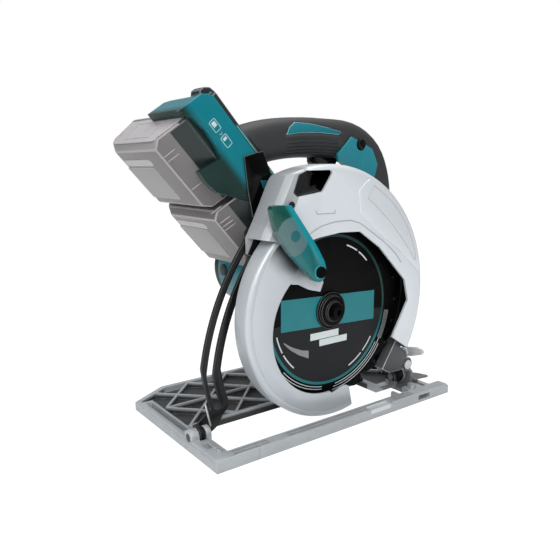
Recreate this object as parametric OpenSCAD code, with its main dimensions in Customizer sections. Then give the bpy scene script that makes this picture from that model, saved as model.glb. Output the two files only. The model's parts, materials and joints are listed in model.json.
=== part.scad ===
// Cordless circular saw that runs on two slide-on battery packs.
// The origin lies on the sole, in the blade's plane, under the blade axis.
// +X is the cutting direction, +Y points to the motor side and +Z up.
// The model stands with the depth stop raised and the sole flat.

/* [Blade] */
// Diameter over the teeth
blade_d = 185; // [180:1:190]
// Thickness of the blade body
blade_t = 1.8; // [1.4:0.1:2]
// Number of teeth
tooth_count = 24; // [16:2:40]
// Depth of a gullet between two teeth
gullet_depth = 9; // [6:0.5:11]
// Radius of the arbor hole
blade_bore_r = 7.94; // [7.5:0.01:8.2]
// Height of the blade axis above the sole
arbor_h = 103; // [101.5:0.5:106]

/* [Blade drive] */
// Radius of the clamping flanges
flange_r = 17.5; // [15:0.5:20]
// Radius of the spindle
spindle_r = 6; // [5.5:0.1:6.5]
// Tooth module of the reduction gears
gear_module = 1.125; // [1.1:0.005:1.15]
// Teeth of the spindle gear
gear_teeth = 41; // [39:2:43]
// Teeth of the motor pinion
pinion_teeth = 9; // [9:1:11]
// Direction of the motor axis seen from the blade axis
motor_angle = 102; // [98:1:106]

/* [Base] */
// Sole length behind the blade axis
base_rear = 147; // [145:1:155]
// Sole length in front of the blade axis
base_front = 119; // [118:0.5:122]
// Sole width on the blade side
base_right = 37; // [36:0.5:42]
// Sole width on the motor side
base_left = 142; // [138:1:150]
// Height of the edge rails
rail_h = 10.5; // [9:0.5:11]
// Width of the blade side rail
rail_w = 11; // [9:0.5:12]
// Thickness of the sole
sole_t = 2.6; // [2:0.1:3.2]
// Height of the stiffening ribs
rib_h = 8; // [6:0.5:8]
// Thickness of a rib
rib_t = 2; // [1.6:0.1:2.6]
// Number of rib bays along the motor side panel
rib_bays = 5; // [4:1:7]
// Reach of the cutting guide in front of the sole
guide_reach = 24; // [18:1:28]
// Width of the rip fence bar that the sole takes
fence_bar_w = 17; // [14:0.5:18]
// Thickness of the rip fence bar
fence_bar_t = 4.6; // [4.2:0.1:5]

/* [Adjustments] */
// Place of the depth pivot in front of the blade axis
pivot_x = 106; // [104:0.5:108]
// Height of the depth pivot
pivot_z = 29; // [28:0.5:31]
// Radius of the depth pivot pin
pivot_pin_r = 4; // [3.5:0.1:4.5]
// Sideways place of the bevel axis
bevel_y = 10; // [9.5:0.1:10.5]
// Height of the bevel axis
bevel_z = 12.5; // [12:0.5:13.5]
// Radius of the bevel pins
bevel_pin_r = 3.5; // [3:0.1:4]
// Outer radius of the depth guide
guide_r = 238; // [236:0.5:239]
// Width of the depth guide
guide_w = 19.5; // [18:0.5:21]
// Width of the slot in the depth guide
guide_slot = 6.6; // [6.4:0.1:7]
// Thickness of the depth guide
guide_t = 3; // [2.5:0.1:3.2]

/* [Guards] */
// Radius of the upper blade case
case_r = 125; // [123:0.5:127]
// Width of the upper blade case
case_w = 30; // [29:0.5:31]
// Wall of the upper blade case
case_wall = 2.5; // [2:0.1:3]
// Outer radius of the lower guard
guard_r = 100.5; // [99:0.5:101]
// Width of the lower guard
guard_w = 21; // [20:0.5:22]
// Wall of the lower guard
guard_wall = 2; // [1.6:0.1:2.4]
// Radius of the pivot screw of the guard lever
lever_pin_r = 3; // [2.5:0.1:3.5]

/* [Motor and gears] */
// Radius of the motor housing
motor_r = 41; // [39:0.5:42]
// Length of the motor housing
motor_len = 80; // [74:1:84]
// Length of the motor's rear cap
cap_len = 14; // [11:1:16]
// Depth of the gear housing
gearbox_len = 29; // [27:1:31]
// Wall of the motor housing with the ledge for the stator
shell_t = 9; // [8:0.5:10]

/* [Handle] */
// Width of the grip across the hand
grip_w = 36; // [33:0.5:38]
// Thickness of the grip from top to bottom
grip_t = 37; // [34:0.5:38]
// Sideways place of the grip's middle
grip_y = 42; // [41:0.5:43]

/* [Batteries] */
// Length of a battery pack
battery_len = 113; // [108:1:116]
// Width of a battery pack
battery_w = 75; // [72:0.5:76]
// Height of a pack below the dock
battery_h = 45; // [42:0.5:48]
// Height of the slide rails on a pack
battery_rail = 12; // [10:0.5:13]
// Gap between the two packs
battery_gap = 5.5; // [4:0.5:6]
// Lean of the battery dock below level
dock_lean = 48; // [46:0.5:50]
// Width of the battery dock
dock_w = 64; // [60:1:66]

/* [Fits] */
// Radial clearance of the turning fits
run_fit = 0.05; // [0.03:0.01:0.08]
// Clearance between pieces that are put together
seat_fit = 0.2; // [0.1:0.05:0.3]

/* [Hidden] */
$fn = 72;
gear_gap = gear_module * (gear_teeth + pinion_teeth) / 2;
motor_x = gear_gap * cos(motor_angle);
motor_z = arbor_h + gear_gap * sin(motor_angle);
case_x = -10;
case_z = arbor_h + 10;
case_y = case_w / 2;
guard_y = guard_w / 2;
face_y = blade_t / 2;
flange_y = face_y + 5;
hub_r = 20;
retainer_r = 30;
bearing_y = guard_y - guard_wall - 0.5;
gear_y = case_y + 4;
wall_y = case_y + 16;
motor_y = case_y + gearbox_len;
motor_bore = motor_r - shell_t;
cap_y = motor_y + motor_len;
shaft_r = 4;
guide_y = case_y + 1.5;
slot_r = guide_r - guide_w / 2 + 0.5;
bolt_r = 3;
clamp_x = pivot_x - slot_r * cos(40);
clamp_z = pivot_z + slot_r * sin(40);
clamp_r = 24;
open_rear = base_rear - 19;
open_front = 75;
open_right = base_right - 12;
open_left = 38;
notch_x = pivot_x - 8;
fence_x = base_front - 20.5;
screw_x = fence_x - 2.5;
screw_y = -base_right + 15;
plate_x = pivot_x + 5;
pitch = battery_w + battery_gap;
dock_v = battery_h;
dock_y0 = 22;
dock_y1 = dock_y0 + dock_w;
pack_y = dock_y0 + 6;
dock_end = 2 * battery_w + battery_gap + 4.5;
motor_u = dock_end + 30.5;
motor_v = 28.5;
dock_x = motor_x - motor_u * cos(dock_lean) - motor_v * sin(dock_lean);
dock_z = motor_z + motor_u * sin(dock_lean) - motor_v * cos(dock_lean);
trim_v = battery_h + 15;
front_v = trim_v + 6;
lever_y = case_y + 2.5;
lever_x = -32.5;
lever_z = arbor_h + 43;
neck_z = arbor_h + 49;
trig_x = 38;
trig_z = arbor_h + 147;
lock_x = 59;
lock_z = arbor_h + 154;

// Profile in the X-Z plane, thickened along Y.
module slab(y0, y1)
  translate([0, y1, 0]) rotate([90, 0, 0]) linear_extrude(y1 - y0) children();

// Profile in the Y-Z plane, thickened along X.
module slab_x(x0, x1)
  translate([x0, 0, 0]) rotate([90, 0, 90]) linear_extrude(x1 - x0) children();

// Round bar along Y.
module rod(r, y0, y1, x = 0, z = arbor_h)
  translate([x, y0, z]) rotate([-90, 0, 0]) cylinder(r = r, h = y1 - y0);

// Round bar along X.
module rod_x(r, x0, x1, y = bevel_y, z = bevel_z)
  translate([x0, y, z]) rotate([0, 90, 0]) cylinder(r = r, h = x1 - x0);

// Frame of the battery dock: X runs down the dock and Z stands out of it.
module at_dock()
  translate([dock_x, 0, dock_z]) rotate([0, dock_lean, 0]) children();

// Pie slice of a circle between two angles.
module sector(r, a0, a1)
  polygon(concat([[0, 0]], [for (i = [0:48])
    r * [cos(a0 + (a1 - a0) * i / 48), sin(a0 + (a1 - a0) * i / 48)]]));

// Ring sector between two radii.
module band(r0, r1, a0, a1)
  difference() {
    sector(r1, a0, a1);
    circle(r0, $fn = 180);
  }

// Inward bend of the depth guide below the last clamping place.
function guide_lean(a, from) = a < from ? 0 : (a - from) * 1.25;

// Slot with round ends along an arc.
module arc_slot(r, w, a0, a1)
  polygon(concat(
    [for (i = [0:24]) let (a = a0 + (a1 - a0) * i / 24) (r + w / 2) * [cos(a), sin(a)]],
    [for (j = [1:7]) r * [cos(a1), sin(a1)]
      + w / 2 * [cos(a1 + 22.5 * j), sin(a1 + 22.5 * j)]],
    [for (i = [24:-1:0]) let (a = a0 + (a1 - a0) * i / 24) (r - w / 2) * [cos(a), sin(a)]],
    [for (j = [1:7]) r * [cos(a0), sin(a0)]
      - w / 2 * [cos(a0 + 22.5 * j), sin(a0 + 22.5 * j)]]));

// Outline of a spur gear.
module gear_outline(z, phase) {
  m = gear_module;
  rp = m * z / 2;
  a = 360 / z;
  polygon([for (i = [0:z - 1], p = [
      [rp - 1.2 * m, -0.36], [rp - 0.1 * m, -0.235], [rp + 0.62 * m, -0.15],
      [rp + m, -0.08], [rp + m, 0.08], [rp + 0.62 * m, 0.15],
      [rp - 0.1 * m, 0.235], [rp - 1.2 * m, 0.36]])
    p[0] * [cos(phase + a * (i + p[1])), sin(phase + a * (i + p[1]))]]);
}

// ---- base ----

module sole_outline() {
  polygon([
    [-base_rear, -base_right], [base_front + guide_reach - 6, -base_right],
    [base_front + guide_reach - 5, -base_right + 3],
    [base_front + guide_reach - 9, -base_right + rail_w],
    [base_front, -base_right + rail_w], [base_front, base_left],
    [-base_rear + 39, base_left], [-base_rear, base_left - 23]
  ]);
}

module blade_opening() {
  translate([-open_rear, -open_right])
    square([open_rear + open_front, open_right + open_left]);
  translate([open_front - 1, -13]) square([notch_x - open_front + 1, 21]);
}

module bar_2d(a, b, w) {
  d = b - a;
  translate(a) rotate(atan2(d[1], d[0]))
    translate([0, -w / 2]) square([norm(d), w]);
}

module rib_lines() {
  x0 = -open_rear;
  x1 = base_front - 6;
  y0 = open_left + 3;
  y1 = base_left - 5;
  ym = (y0 + y1) / 2;
  bay = (x1 - x0) / rib_bays;
  for (i = [0:rib_bays - 1]) {
    a = x0 + i * bay;
    for (row = [[y0, ym], [ym, y1]]) {
      bar_2d([a, row[0]], [a + bay, row[1]], rib_t);
      bar_2d([a, row[1]], [a + bay, row[0]], rib_t);
    }
  }
  bar_2d([x0, ym], [x1, ym], rib_t);
}

module base_plate()
  color("silver") difference() {
    union() {
      linear_extrude(sole_t) sole_outline();
      // Ribs of the motor side panel.
      linear_extrude(rib_h) intersection() {
        sole_outline();
        rib_lines();
      }
      // Rim around the panel and the blade opening.
      linear_extrude(rib_h) difference() {
        sole_outline();
        difference() {
          offset(delta = -5) sole_outline();
          translate([-open_rear - 3, -open_right - 3])
            square([open_rear + open_front + 6, open_right + open_left + 6]);
        }
      }
      linear_extrude(rail_h)
        translate([-base_rear, -base_right])
          square([base_rear + base_front + guide_reach - 9, rail_w]);
      linear_extrude(rail_h)
        translate([-base_rear, -base_right]) square([13, base_right + base_left - 34]);
      // Posts at the corner of the rails.
      for (y = [-base_right + 12.5, -base_right + 17])
        translate([-base_rear + 8, y, 0]) cube([3, 2.6, rail_h + 2]);
      // Hinge bosses.
      for (s = [[-base_rear, 7.5], [-base_rear + 14.3, 4.7], [notch_x + 0.5, 4]]) {
        rod_x(bevel_pin_r + 3, s[0], s[0] + s[1]);
        translate([s[0], bevel_y - bevel_pin_r - 3, 0])
          cube([s[1], 2 * bevel_pin_r + 6, bevel_z]);
      }
      // Bridge that carries the rip fence and its screw.
      translate([fence_x - 10.5, -base_right, 0]) cube([21, 21, rail_h]);
      // Pointed tab that shows the line of the cut.
      translate([0, 0, rail_h - 2.5]) linear_extrude(2.5)
        polygon([[base_front - 5, -8], [base_front, -5],
          [base_front + guide_reach - 4, -8], [base_front + 16, 4],
          [base_front, 24], [base_front - 5, 24]]);
      translate([base_front - 5, -base_right, 0])
        cube([5, base_right + base_left, rail_h]);
    }
    translate([0, 0, -1]) linear_extrude(rail_h + 20) blade_opening();
    // Grooves along the top of the rail, with pads between them.
    for (x = [[-base_rear + 18, -93], [-74, 16], [58, fence_x - 14]], y = [2.2, 6.6])
      translate([x[0], -base_right + y, rail_h - 2.4]) cube([x[1] - x[0], 2.8, 4]);
    translate([20, -base_right - 1, rail_h - 1.2]) cube([32, 7.5, 3]);
    // Channel along the rear rail.
    translate([-base_rear + 4.5, 28, rail_h - 4.5]) cube([6, base_left - 66, 9]);
    translate([-base_rear + 4.5, -14, rail_h - 4.5]) cube([6, 10, 9]);
    // Step along the rear face.
    translate([-base_rear - 1, -base_right + 6, rail_h - 3.2])
      cube([1.6, base_right + base_left - 40, 4]);
    // Way for the rip fence bar.
    translate([fence_x - fence_bar_w / 2 - seat_fit, -base_right - 1, sole_t])
      cube([fence_bar_w + 2 * seat_fit, 24, fence_bar_t + seat_fit]);
    translate([screw_x, screw_y, sole_t]) cylinder(r = 2.5, h = 20);
    rod_x(bevel_pin_r + 0.02, -base_rear - 1, -base_rear + 21);
    rod_x(bevel_pin_r + 0.02, notch_x - 1, notch_x + 6);
    // Room for the foot of the depth guide.
    translate([-base_rear + 7.6, bevel_y - bevel_pin_r - 4, sole_t])
      cube([6.6, guide_y + guide_t - bevel_y + bevel_pin_r + 5, 20]);
    translate([-base_rear + 14, guide_y - 0.3, sole_t]) cube([6, guide_t + 1.3, 20]);
    // Room for the clamp post and the tilting plate.
    translate([plate_x - 1, -14, sole_t]) cube([7.2, 51, 20]);
  }

module clamp_post()
  color("silver") slab_x(plate_x + 3.4, plate_x + 6.2) difference() {
    polygon([[-6, sole_t], [18, sole_t], [17, bevel_z + 12],
      [bevel_y + 5.5, bevel_z + clamp_r], [bevel_y + 3, bevel_z + clamp_r + 5],
      [bevel_y - 3, bevel_z + clamp_r + 5], [bevel_y - 5.5, bevel_z + clamp_r],
      [0, bevel_z + 10], [-5, bevel_z + 6]]);
    translate([bevel_y, bevel_z]) circle(bevel_pin_r + 0.02);
    translate([bevel_y, bevel_z + clamp_r]) circle(2.52);
  }

module bevel_quadrant()
  color("silver") slab_x(plate_x, plate_x + 3) difference() {
    union() {
      translate([bevel_y, bevel_z]) sector(clamp_r + 6, 30, 100);
      translate([bevel_y, bevel_z]) circle(8.5);
    }
    translate([bevel_y, bevel_z]) {
      circle(bevel_pin_r + run_fit);
      arc_slot(clamp_r, 6, 39, 91);
    }
  }

module rear_hinge_pin()
  color("dimgray") rod_x(bevel_pin_r, -base_rear, -base_rear + 19);

module front_hinge_pin()
  color("dimgray") rod_x(bevel_pin_r, notch_x + 0.5, plate_x + 6.1);

module fence_screw()
  color("silver") {
    translate([screw_x, screw_y, sole_t + fence_bar_t + 0.4])
      cylinder(r = 2.48, h = rail_h - 6);
    translate([screw_x, screw_y, rail_h]) cylinder(r = 4.2, h = 3.8);
  }

// ---- adjustment frame ----

module guide_outline()
  polygon(concat(
    [for (a = [137:1:180]) (guide_r - guide_lean(a, 171)) * [cos(a), sin(a)]],
    [[-base_rear + 13.6 - pivot_x, 20 - pivot_z], [-base_rear + 13.6 - pivot_x, 6 - pivot_z],
      [-226, -21], [-219, -16.6], [-215, -9], [-210, -4.2]],
    [for (a = [180:-1:137])
      (guide_r - guide_w - guide_lean(a, 171)) * [cos(a), sin(a)]]));

module guide_slot_outline()
  polygon(concat(
    [for (a = [138.6:1:179.6])
      (slot_r + guide_slot / 2 - guide_lean(a, 172.6)) * [cos(a), sin(a)]],
    [for (j = [1:7]) (slot_r - guide_lean(179.6, 172.6)) * [cos(179.6), sin(179.6)]
      + guide_slot / 2 * [cos(179.6 + 22.5 * j), sin(179.6 + 22.5 * j)]],
    [for (a = [179.6:-1:138.6])
      (slot_r - guide_slot / 2 - guide_lean(a, 172.6)) * [cos(a), sin(a)]],
    [for (j = [1:7]) slot_r * [cos(138.6), sin(138.6)]
      - guide_slot / 2 * [cos(138.6 + 22.5 * j), sin(138.6 + 22.5 * j)]]));

module depth_guide()
  color("#1d1d1f") difference() {
    union() {
      slab(guide_y, guide_y + guide_t) {
        translate([pivot_x, pivot_z]) difference() {
          guide_outline();
          guide_slot_outline();
        }
      }
      slab(bevel_y, guide_y + 1)
        polygon([[-138.6, bevel_z - 6.5], [-133.4, bevel_z - 6.5],
          [-133.4, bevel_z + 6.5], [-138.6, bevel_z + 6.5]]);
      rod_x(6.5, -138.6, -133.4);
    }
    rod_x(bevel_pin_r + run_fit, -140, -130);
  }

module tilt_bracket()
  color("#1a1a1c") difference() {
    union() {
      slab(6.5, 13.5) polygon([[84, 25], [96, 37], [plate_x, 37],
        [plate_x, bevel_z], [pivot_x - 3, bevel_z], [pivot_x - 3, bevel_z + 8],
        [90, bevel_z + 8]]);
      rod_x(8, pivot_x - 3, plate_x);
    }
    rod_x(bevel_pin_r + run_fit, pivot_x - 10, base_front);
    rod(pivot_pin_r + 0.02, 0, 20, pivot_x, pivot_z);
  }

module depth_pivot_pin()
  color("silver") {
    rod(pivot_pin_r, -6, 13.5, pivot_x, pivot_z);
    rod(5, -7.6, -6, pivot_x, pivot_z);
  }

module bevel_bolt()
  color("dimgray") {
    rod_x(2.5, plate_x + 0.3, plate_x + 14, bevel_y, bevel_z + clamp_r);
    rod_x(4.2, plate_x + 12.3, plate_x + 15, bevel_y, bevel_z + clamp_r);
  }

module bevel_lever()
  color("silver") difference() {
    union() {
      rod_x(5.5, plate_x + 6.5, plate_x + 12, bevel_y, bevel_z + clamp_r);
      slab_x(plate_x + 8, plate_x + 11) polygon([[bevel_y, 42],
        [-4.8, 45], [-14.4, 44], [-16, 41.5], [-13, 38.5], [0, 34],
        [bevel_y, 31.5]]);
    }
    rod_x(2.5 + run_fit, plate_x + 5, plate_x + 15, bevel_y, bevel_z + clamp_r);
  }

// ---- saw body ----

// Profile of a round case from its axis to its rim, with rounded rim corners.
module rim_profile(r, y, near_r, far_r)
  polygon(concat([[0, -y]],
    [for (a = [-90:15:0]) [r - near_r + near_r * cos(a), -y + near_r + near_r * sin(a)]],
    [for (a = [0:15:90]) [r - far_r + far_r * cos(a), y - far_r + far_r * sin(a)]],
    [[0, y]]));

module case_body(inset)
  translate([case_x, 0, case_z]) rotate([-90, 0, 0]) rotate_extrude($fn = 180)
    rim_profile(case_r - inset, case_y - inset, 6 - inset, 4 - inset);

module case_trim()
  translate([0, arbor_h])
    polygon([[-84, 73], [-76, 88], [-56, 129], [-40, 157], [140, 157],
      [140, -43], [98, -53], [40, -49], [18, -43], [-24, -35], [-42, -8], [-60, 47],
      [-84, 59]]);

module case_cutout()
  translate([0, arbor_h])
    polygon([[-90, 47], [-90, 74], [-84, 73], [-48, 67.5], [-26, 71.8], [-2, 74.6],
      [23, 73.9], [50, 56.8], [87, 21.3], [93, -0.2], [72, -36],
      [98, -53], [80, -83], [-90, -83]]);

// Window for the chips in the near wall.
module chip_window()
  offset(r = 2.5, $fn = 24) offset(delta = -2.5)
    translate([0, arbor_h])
      polygon([[-54.5, 111], [-48.5, 126], [-40.2, 129.4], [-10, 129.9],
        [-23, 111.5], [-51, 107.5]]);

module blade_case()
  color("silver") difference() {
    intersection() {
      case_body(0);
      slab(-case_y - 1, case_y + 1) case_trim();
    }
    // Room inside, up to the solid band at the rear edge.
    difference() {
      case_body(case_wall);
      slab(-case_y, case_y) translate([0, arbor_h])
        polygon([[-90, 37], [-78, 73], [-50, 130.5], [-40, 157], [-100, 157]]);
      slab(-case_y, -guard_y - 0.4) translate([0, arbor_h])
        polygon([[-78, 33], [-66, 68], [-38, 125.5], [-28, 157], [-100, 157], [-90, 37]]);
    }
    slab(-case_y - 1, case_y - case_wall) case_cutout();
    slab(-case_y - 1, -case_y + case_wall + 1) chip_window();
    // Broad bevel along the rear edge of the near side.
    translate([-80.5, -case_y, arbor_h + 73]) rotate([0, -63.8, 0]) {
      translate([0, 0, -13]) rotate([-13, 0, 0]) translate([-60, -40, -8]) cube([200, 40, 60]);
      translate([0, 2.54, -2]) rotate([-48, 0, 0]) translate([-60, -40, -8]) cube([200, 40, 60]);
    }
    rod(hub_r + 0.2, 0, 20);
    rod(bolt_r + 0.02, case_y - 5, case_y + 2, clamp_x, clamp_z);
  }

module front_link()
  color("#3a3b3d") difference() {
    slab(-6, 5) union() {
      polygon([[68.5, 31.4], [80, 25], [98, 24.5], [106, 32], [103.7, 44.4],
        [98, 48.5], [88, 55], [75.4, 42]]);
      intersection() {
        polygon([[76, 42.6], [96, 40], [116, 70], [112, 86], [104, 78], [88, 60]]);
        translate([case_x, case_z]) circle(case_r - case_wall - 0.3, $fn = 200);
      }
      translate([pivot_x, pivot_z]) circle(8);
    }
    rod(pivot_pin_r + run_fit, -10, 10, pivot_x, pivot_z);
  }

module gear_housing()
  color("#2b2c2e") difference() {
    union() {
      slab(case_y, wall_y) hull() {
        translate([0, arbor_h]) circle(retainer_r + 3.5);
        translate([motor_x, motor_z]) circle(motor_r + 2);
      }
      slab(wall_y, motor_y) hull() {
        translate([0, arbor_h]) circle(13);
        translate([motor_x, motor_z]) circle(motor_r + 2);
      }
      slab(dock_y0 + 3, motor_y) neck_outline();
      rod(6, wall_y - 1, wall_y + 3.5, 0, arbor_h - 22);
    }
    rod(retainer_r + 0.1, case_y - 1, case_y + 3);
    rod(26, case_y + 2.9, wall_y - 1.5);
    rod(8, case_y + 3, wall_y - 1.5, motor_x, motor_z);
    rod(9 + 0.02, wall_y - 2, wall_y + 9);
    rod(11 + 0.02, wall_y + 1, motor_y + 1, motor_x, motor_z);
    rod(shaft_r + 3, wall_y - 2, wall_y + 2, motor_x, motor_z);
    rod(3 + run_fit, wall_y - 3, wall_y + 6, 0, arbor_h - 22);
    dock_cut();
  }

module neck_outline()
  translate([0, arbor_h])
    polygon([[62, neck_z - arbor_h], [103, neck_z - arbor_h], [100, 35], [78, 15], [34, 1],
      [10, 7], [18, 57], [40, 45]]);

module dock_cut()
  at_dock() translate([-20, 20, -40])
    cube([pitch + battery_w + 20.8, 130, dock_v + 40.3]);

module bearing_retainer()
  color("silver") difference() {
    union() {
      rod(hub_r, bearing_y - 1.5, case_y);
      rod(retainer_r, case_y, case_y + 3);
    }
    rod(16, bearing_y, case_y + 4);
    rod(11, bearing_y - 3, bearing_y + 1);
  }

module spindle_bearing()
  color("lightgray") difference() {
    rod(15.98, bearing_y, bearing_y + 9);
    rod(7.02, bearing_y - 1, bearing_y + 10);
  }

module needle_bearing()
  color("lightgray") difference() {
    rod(9, wall_y, wall_y + 9);
    rod(5 + 0.02, wall_y - 1, wall_y + 10);
  }

module guard_spring()
  color("gray") translate([0, guard_y + 1, arbor_h]) rotate([-90, 0, 0])
    rotate_extrude($fn = 60) translate([hub_r + 3, 0]) circle(0.7, $fn = 12);

module motor_housing()
  color("teal") difference() {
    union() {
      rod(motor_r, motor_y, cap_y, motor_x, motor_z, $fn = 96);
      slab(motor_y, grip_y + grip_w / 2 - 1) neck_outline();
    }
    rod(motor_bore, motor_y - 1, cap_y + 1, motor_x, motor_z);
    dock_cut();
  }

module motor_end_cap()
  color("#222325") difference() {
    translate([motor_x, cap_y, motor_z]) rotate([-90, 0, 0])
      rotate_extrude($fn = 96)
        polygon([[0, 0], [motor_r - 1, 0], [motor_r - 1, cap_len - 6],
          [motor_r - 3, cap_len - 2], [motor_r - 7, cap_len], [0, cap_len]]);
    rod(8.02, cap_y - 1, cap_y + 7, motor_x, motor_z);
    dock_cut();
  }

module stator()
  color("dimgray") difference() {
    rod(motor_bore - 0.02, motor_y + 18, motor_y + 60, motor_x, motor_z);
    rod(21, motor_y, cap_y, motor_x, motor_z);
  }

module front_motor_bearing()
  color("lightgray") difference() {
    rod(11, wall_y + 1, wall_y + 9, motor_x, motor_z);
    rod(shaft_r + 0.02, wall_y, wall_y + 10, motor_x, motor_z);
  }

module rear_motor_bearing()
  color("lightgray") difference() {
    rod(8, cap_y, cap_y + 7, motor_x, motor_z);
    rod(shaft_r + 0.02, cap_y - 1, cap_y + 8, motor_x, motor_z);
  }

module brush_holders()
  color("goldenrod") for (s = [-1, 1])
    translate([motor_x, motor_y + 68, motor_z]) rotate([0, s * 90, 0])
      translate([-4.5, -4, 12.4]) cube([9, 8, motor_bore - 12.8]);

module brush_caps()
  color("#151515") for (s = [-1, 1])
    translate([motor_x, motor_y + 68, motor_z]) rotate([0, s * 90, 0])
      translate([0, 0, motor_r]) cylinder(r = 6, h = 1.6);

module depth_bolt()
  color("dimgray") {
    rod(bolt_r, case_y - case_wall, guide_y + guide_t + 8.4, clamp_x, clamp_z);
    rod(5.5, guide_y + guide_t + 8.4, guide_y + guide_t + 11, clamp_x, clamp_z);
  }

module depth_lever()
  color("#1a1a1c") difference() {
    union() {
      rod(8, guide_y + guide_t + 0.4, guide_y + guide_t + 8, clamp_x, clamp_z);
      slab(guide_y + guide_t + 1, guide_y + guide_t + 6) hull() {
        translate([clamp_x, clamp_z]) circle(7, $fn = 32);
        translate([clamp_x - 4, clamp_z - 34]) circle(4.5, $fn = 32);
      }
    }
    rod(bolt_r + run_fit, 10, 40, clamp_x, clamp_z);
  }

// ---- handle ----

// Middle line of the grip, its half heights and its half widths; heights are above the arbor.
grip_path = [[-100, 135], [-78, 145], [-50, 154.5], [-15, 159], [20, 159.3],
  [53, 156.5], [76.5, 143.5], [89.5, 122], [94.5, 97], [91, 71], [84, 47],
  [76, 29]];
grip_half = [20, 19.5, 18.8, 18.5, 18.8, 19.5, 19.8, 19.3, 18.5, 19, 20, 20];
grip_side = [17, 17.5, 18, 18, 18, 18, 18, 17.5, 17, 17, 17, 17];

function spline(p, i, t) =
  let (n = len(p) - 1, a = p[max(i - 1, 0)], b = p[i], c = p[min(i + 1, n)],
    d = p[min(i + 2, n)])
  0.5 * (2 * b + (c - a) * t + (2 * a - 5 * b + 4 * c - d) * t * t
    + (3 * b - a - 3 * c + d) * t * t * t);

function along(p, s) =
  let (n = len(p) - 1, i = min(floor(s), n - 1)) spline(p, i, s - i);

grip_steps = 40;
arc_steps = 14;

function grip_ring(k) =
  let (s = k * (len(grip_path) - 1) / grip_steps, c = along(grip_path, s),
    d0 = along(grip_path, max(s - 0.05, 0)),
    d1 = along(grip_path, min(s + 0.05, len(grip_path) - 1)),
    t = (d1 - d0) / norm(d1 - d0), h = along(grip_half, s) * grip_t / 37,
    w = along(grip_side, s) * grip_w / 36)
  [for (j = [0:arc_steps]) let (a = 180 * j / arc_steps - 90,
      v = sign(sin(a)) * pow(abs(sin(a)), 0.8) * h, u = pow(abs(cos(a)), 0.75) * w)
    [c[0] - t[1] * v, u, arbor_h + c[1] + t[0] * v]];

module grip_half_solid() {
  n = arc_steps + 1;
  pts = [for (k = [0:grip_steps]) each grip_ring(k)];
  sides = [for (k = [0:grip_steps - 1], j = [0:n - 1], t = [0, 1])
    let (a = k * n + j, b = k * n + (j + 1) % n)
    t == 0 ? [a, b + n, b] : [a, a + n, b + n]];
  ends = [[for (j = [0:n - 1]) j], [for (j = [0:n - 1]) grip_steps * n + n - 1 - j]];
  polyhedron(pts, concat(sides, ends));
}

module handle_half()
  difference() {
    grip_half_solid();
    at_dock() translate([-60, -50, -120]) cube([260, 100, 120 + front_v]);
    translate([20, -50, 0]) cube([140, 100, neck_z]);
    // Trigger slot and switch room.
    translate([trig_x - 30.5, -1, trig_z - 25]) cube([37.5, 7.5, 35]);
    translate([trig_x - 46, -1, trig_z + 9]) cube([46, 9, 17]);
    rod(5 + run_fit, -2, 40, lock_x, lock_z);
    rod(2.5 + 0.02, -1, 12, trig_x, trig_z);
  }

module handle_right()
  color("#2a2a2c") difference() {
    translate([0, grip_y, 0]) mirror([0, 1, 0]) handle_half();
    panel_room();
    slab(0, grip_y - 12) inlay_outline();
  }

module handle_left()
  color("#2a2a2c") translate([0, grip_y, 0]) handle_half();

module panel_outline()
  translate([0, arbor_h])
    polygon([[45.5, 161.2], [59.5, 156.6], [74.9, 149.8], [83, 135], [77.6, 117.4],
      [68, 109], [58, 123], [44, 133], [30, 137], [28.7, 144.6]]);

module panel_room()
  slab(0, grip_y - 15) panel_outline();

module handle_panel()
  color("teal") difference() {
    slab(grip_y - 19, grip_y - 15.1) offset(delta = -0.15) panel_outline();
    rod(6, 10, 40, lock_x, lock_z);
  }

module handle_inlay()
  color("teal") intersection() {
    translate([0, grip_y, 0]) mirror([0, 1, 0]) grip_half_solid();
    slab(0, grip_y - 12) offset(delta = -0.12) inlay_outline();
  }

module inlay_outline()
  translate([0, arbor_h])
    polygon([[-33, 160.2], [-28.7, 167.4], [-21, 172.4], [-4.5, 171.8], [16, 169],
      [34, 165.1], [30.4, 162.2], [6, 163.4], [-17, 162.5]]);

module switch_body()
  color("#101010") translate([trig_x - 44, grip_y - 7.5, trig_z + 9.4]) cube([42, 15, 15.5]);

module trigger()
  color("#161616") difference() {
    slab(grip_y - 6, grip_y + 6) translate([trig_x, trig_z]) {
      polygon([[-28, -1], [-27.5, -10], [-24, -16], [-18, -18.5], [-8, -17],
        [-1, -12], [4.5, -3], [4.5, 1], [0, 4.5], [-26, 4.5], [-28, 2]]);
      circle(4.5);
    }
    rod(2.5 + run_fit, 20, 60, trig_x, trig_z);
  }

module lock_off_button()
  color("#101010") rod(5, grip_y - 20.5, grip_y + 16, lock_x, lock_z);

// ---- battery dock ----

module dock_outline(v1)
  polygon([[-8, 31], [-5.5, v1 - 10], [-2.7, v1 - 3.5], [2.5, v1], [dock_end, v1],
    [dock_end, dock_v], [0, dock_v], [-0.6, 31]]);

module rail_outline(fit)
  polygon([[battery_w / 2 - 19.5 - fit, dock_v - 0.4 - fit],
    [battery_w / 2 + 19.5 + fit, dock_v - 0.4 - fit],
    [battery_w / 2 + 19.5 + fit, dock_v + 5 - fit],
    [battery_w / 2 + 23.5 + fit, dock_v + 5 - fit],
    [battery_w / 2 + 23.5 + fit, dock_v + battery_rail + fit],
    [battery_w / 2 - 23.5 - fit, dock_v + battery_rail + fit],
    [battery_w / 2 - 23.5 - fit, dock_v + 5 - fit],
    [battery_w / 2 - 19.5 - fit, dock_v + 5 - fit]]);

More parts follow.
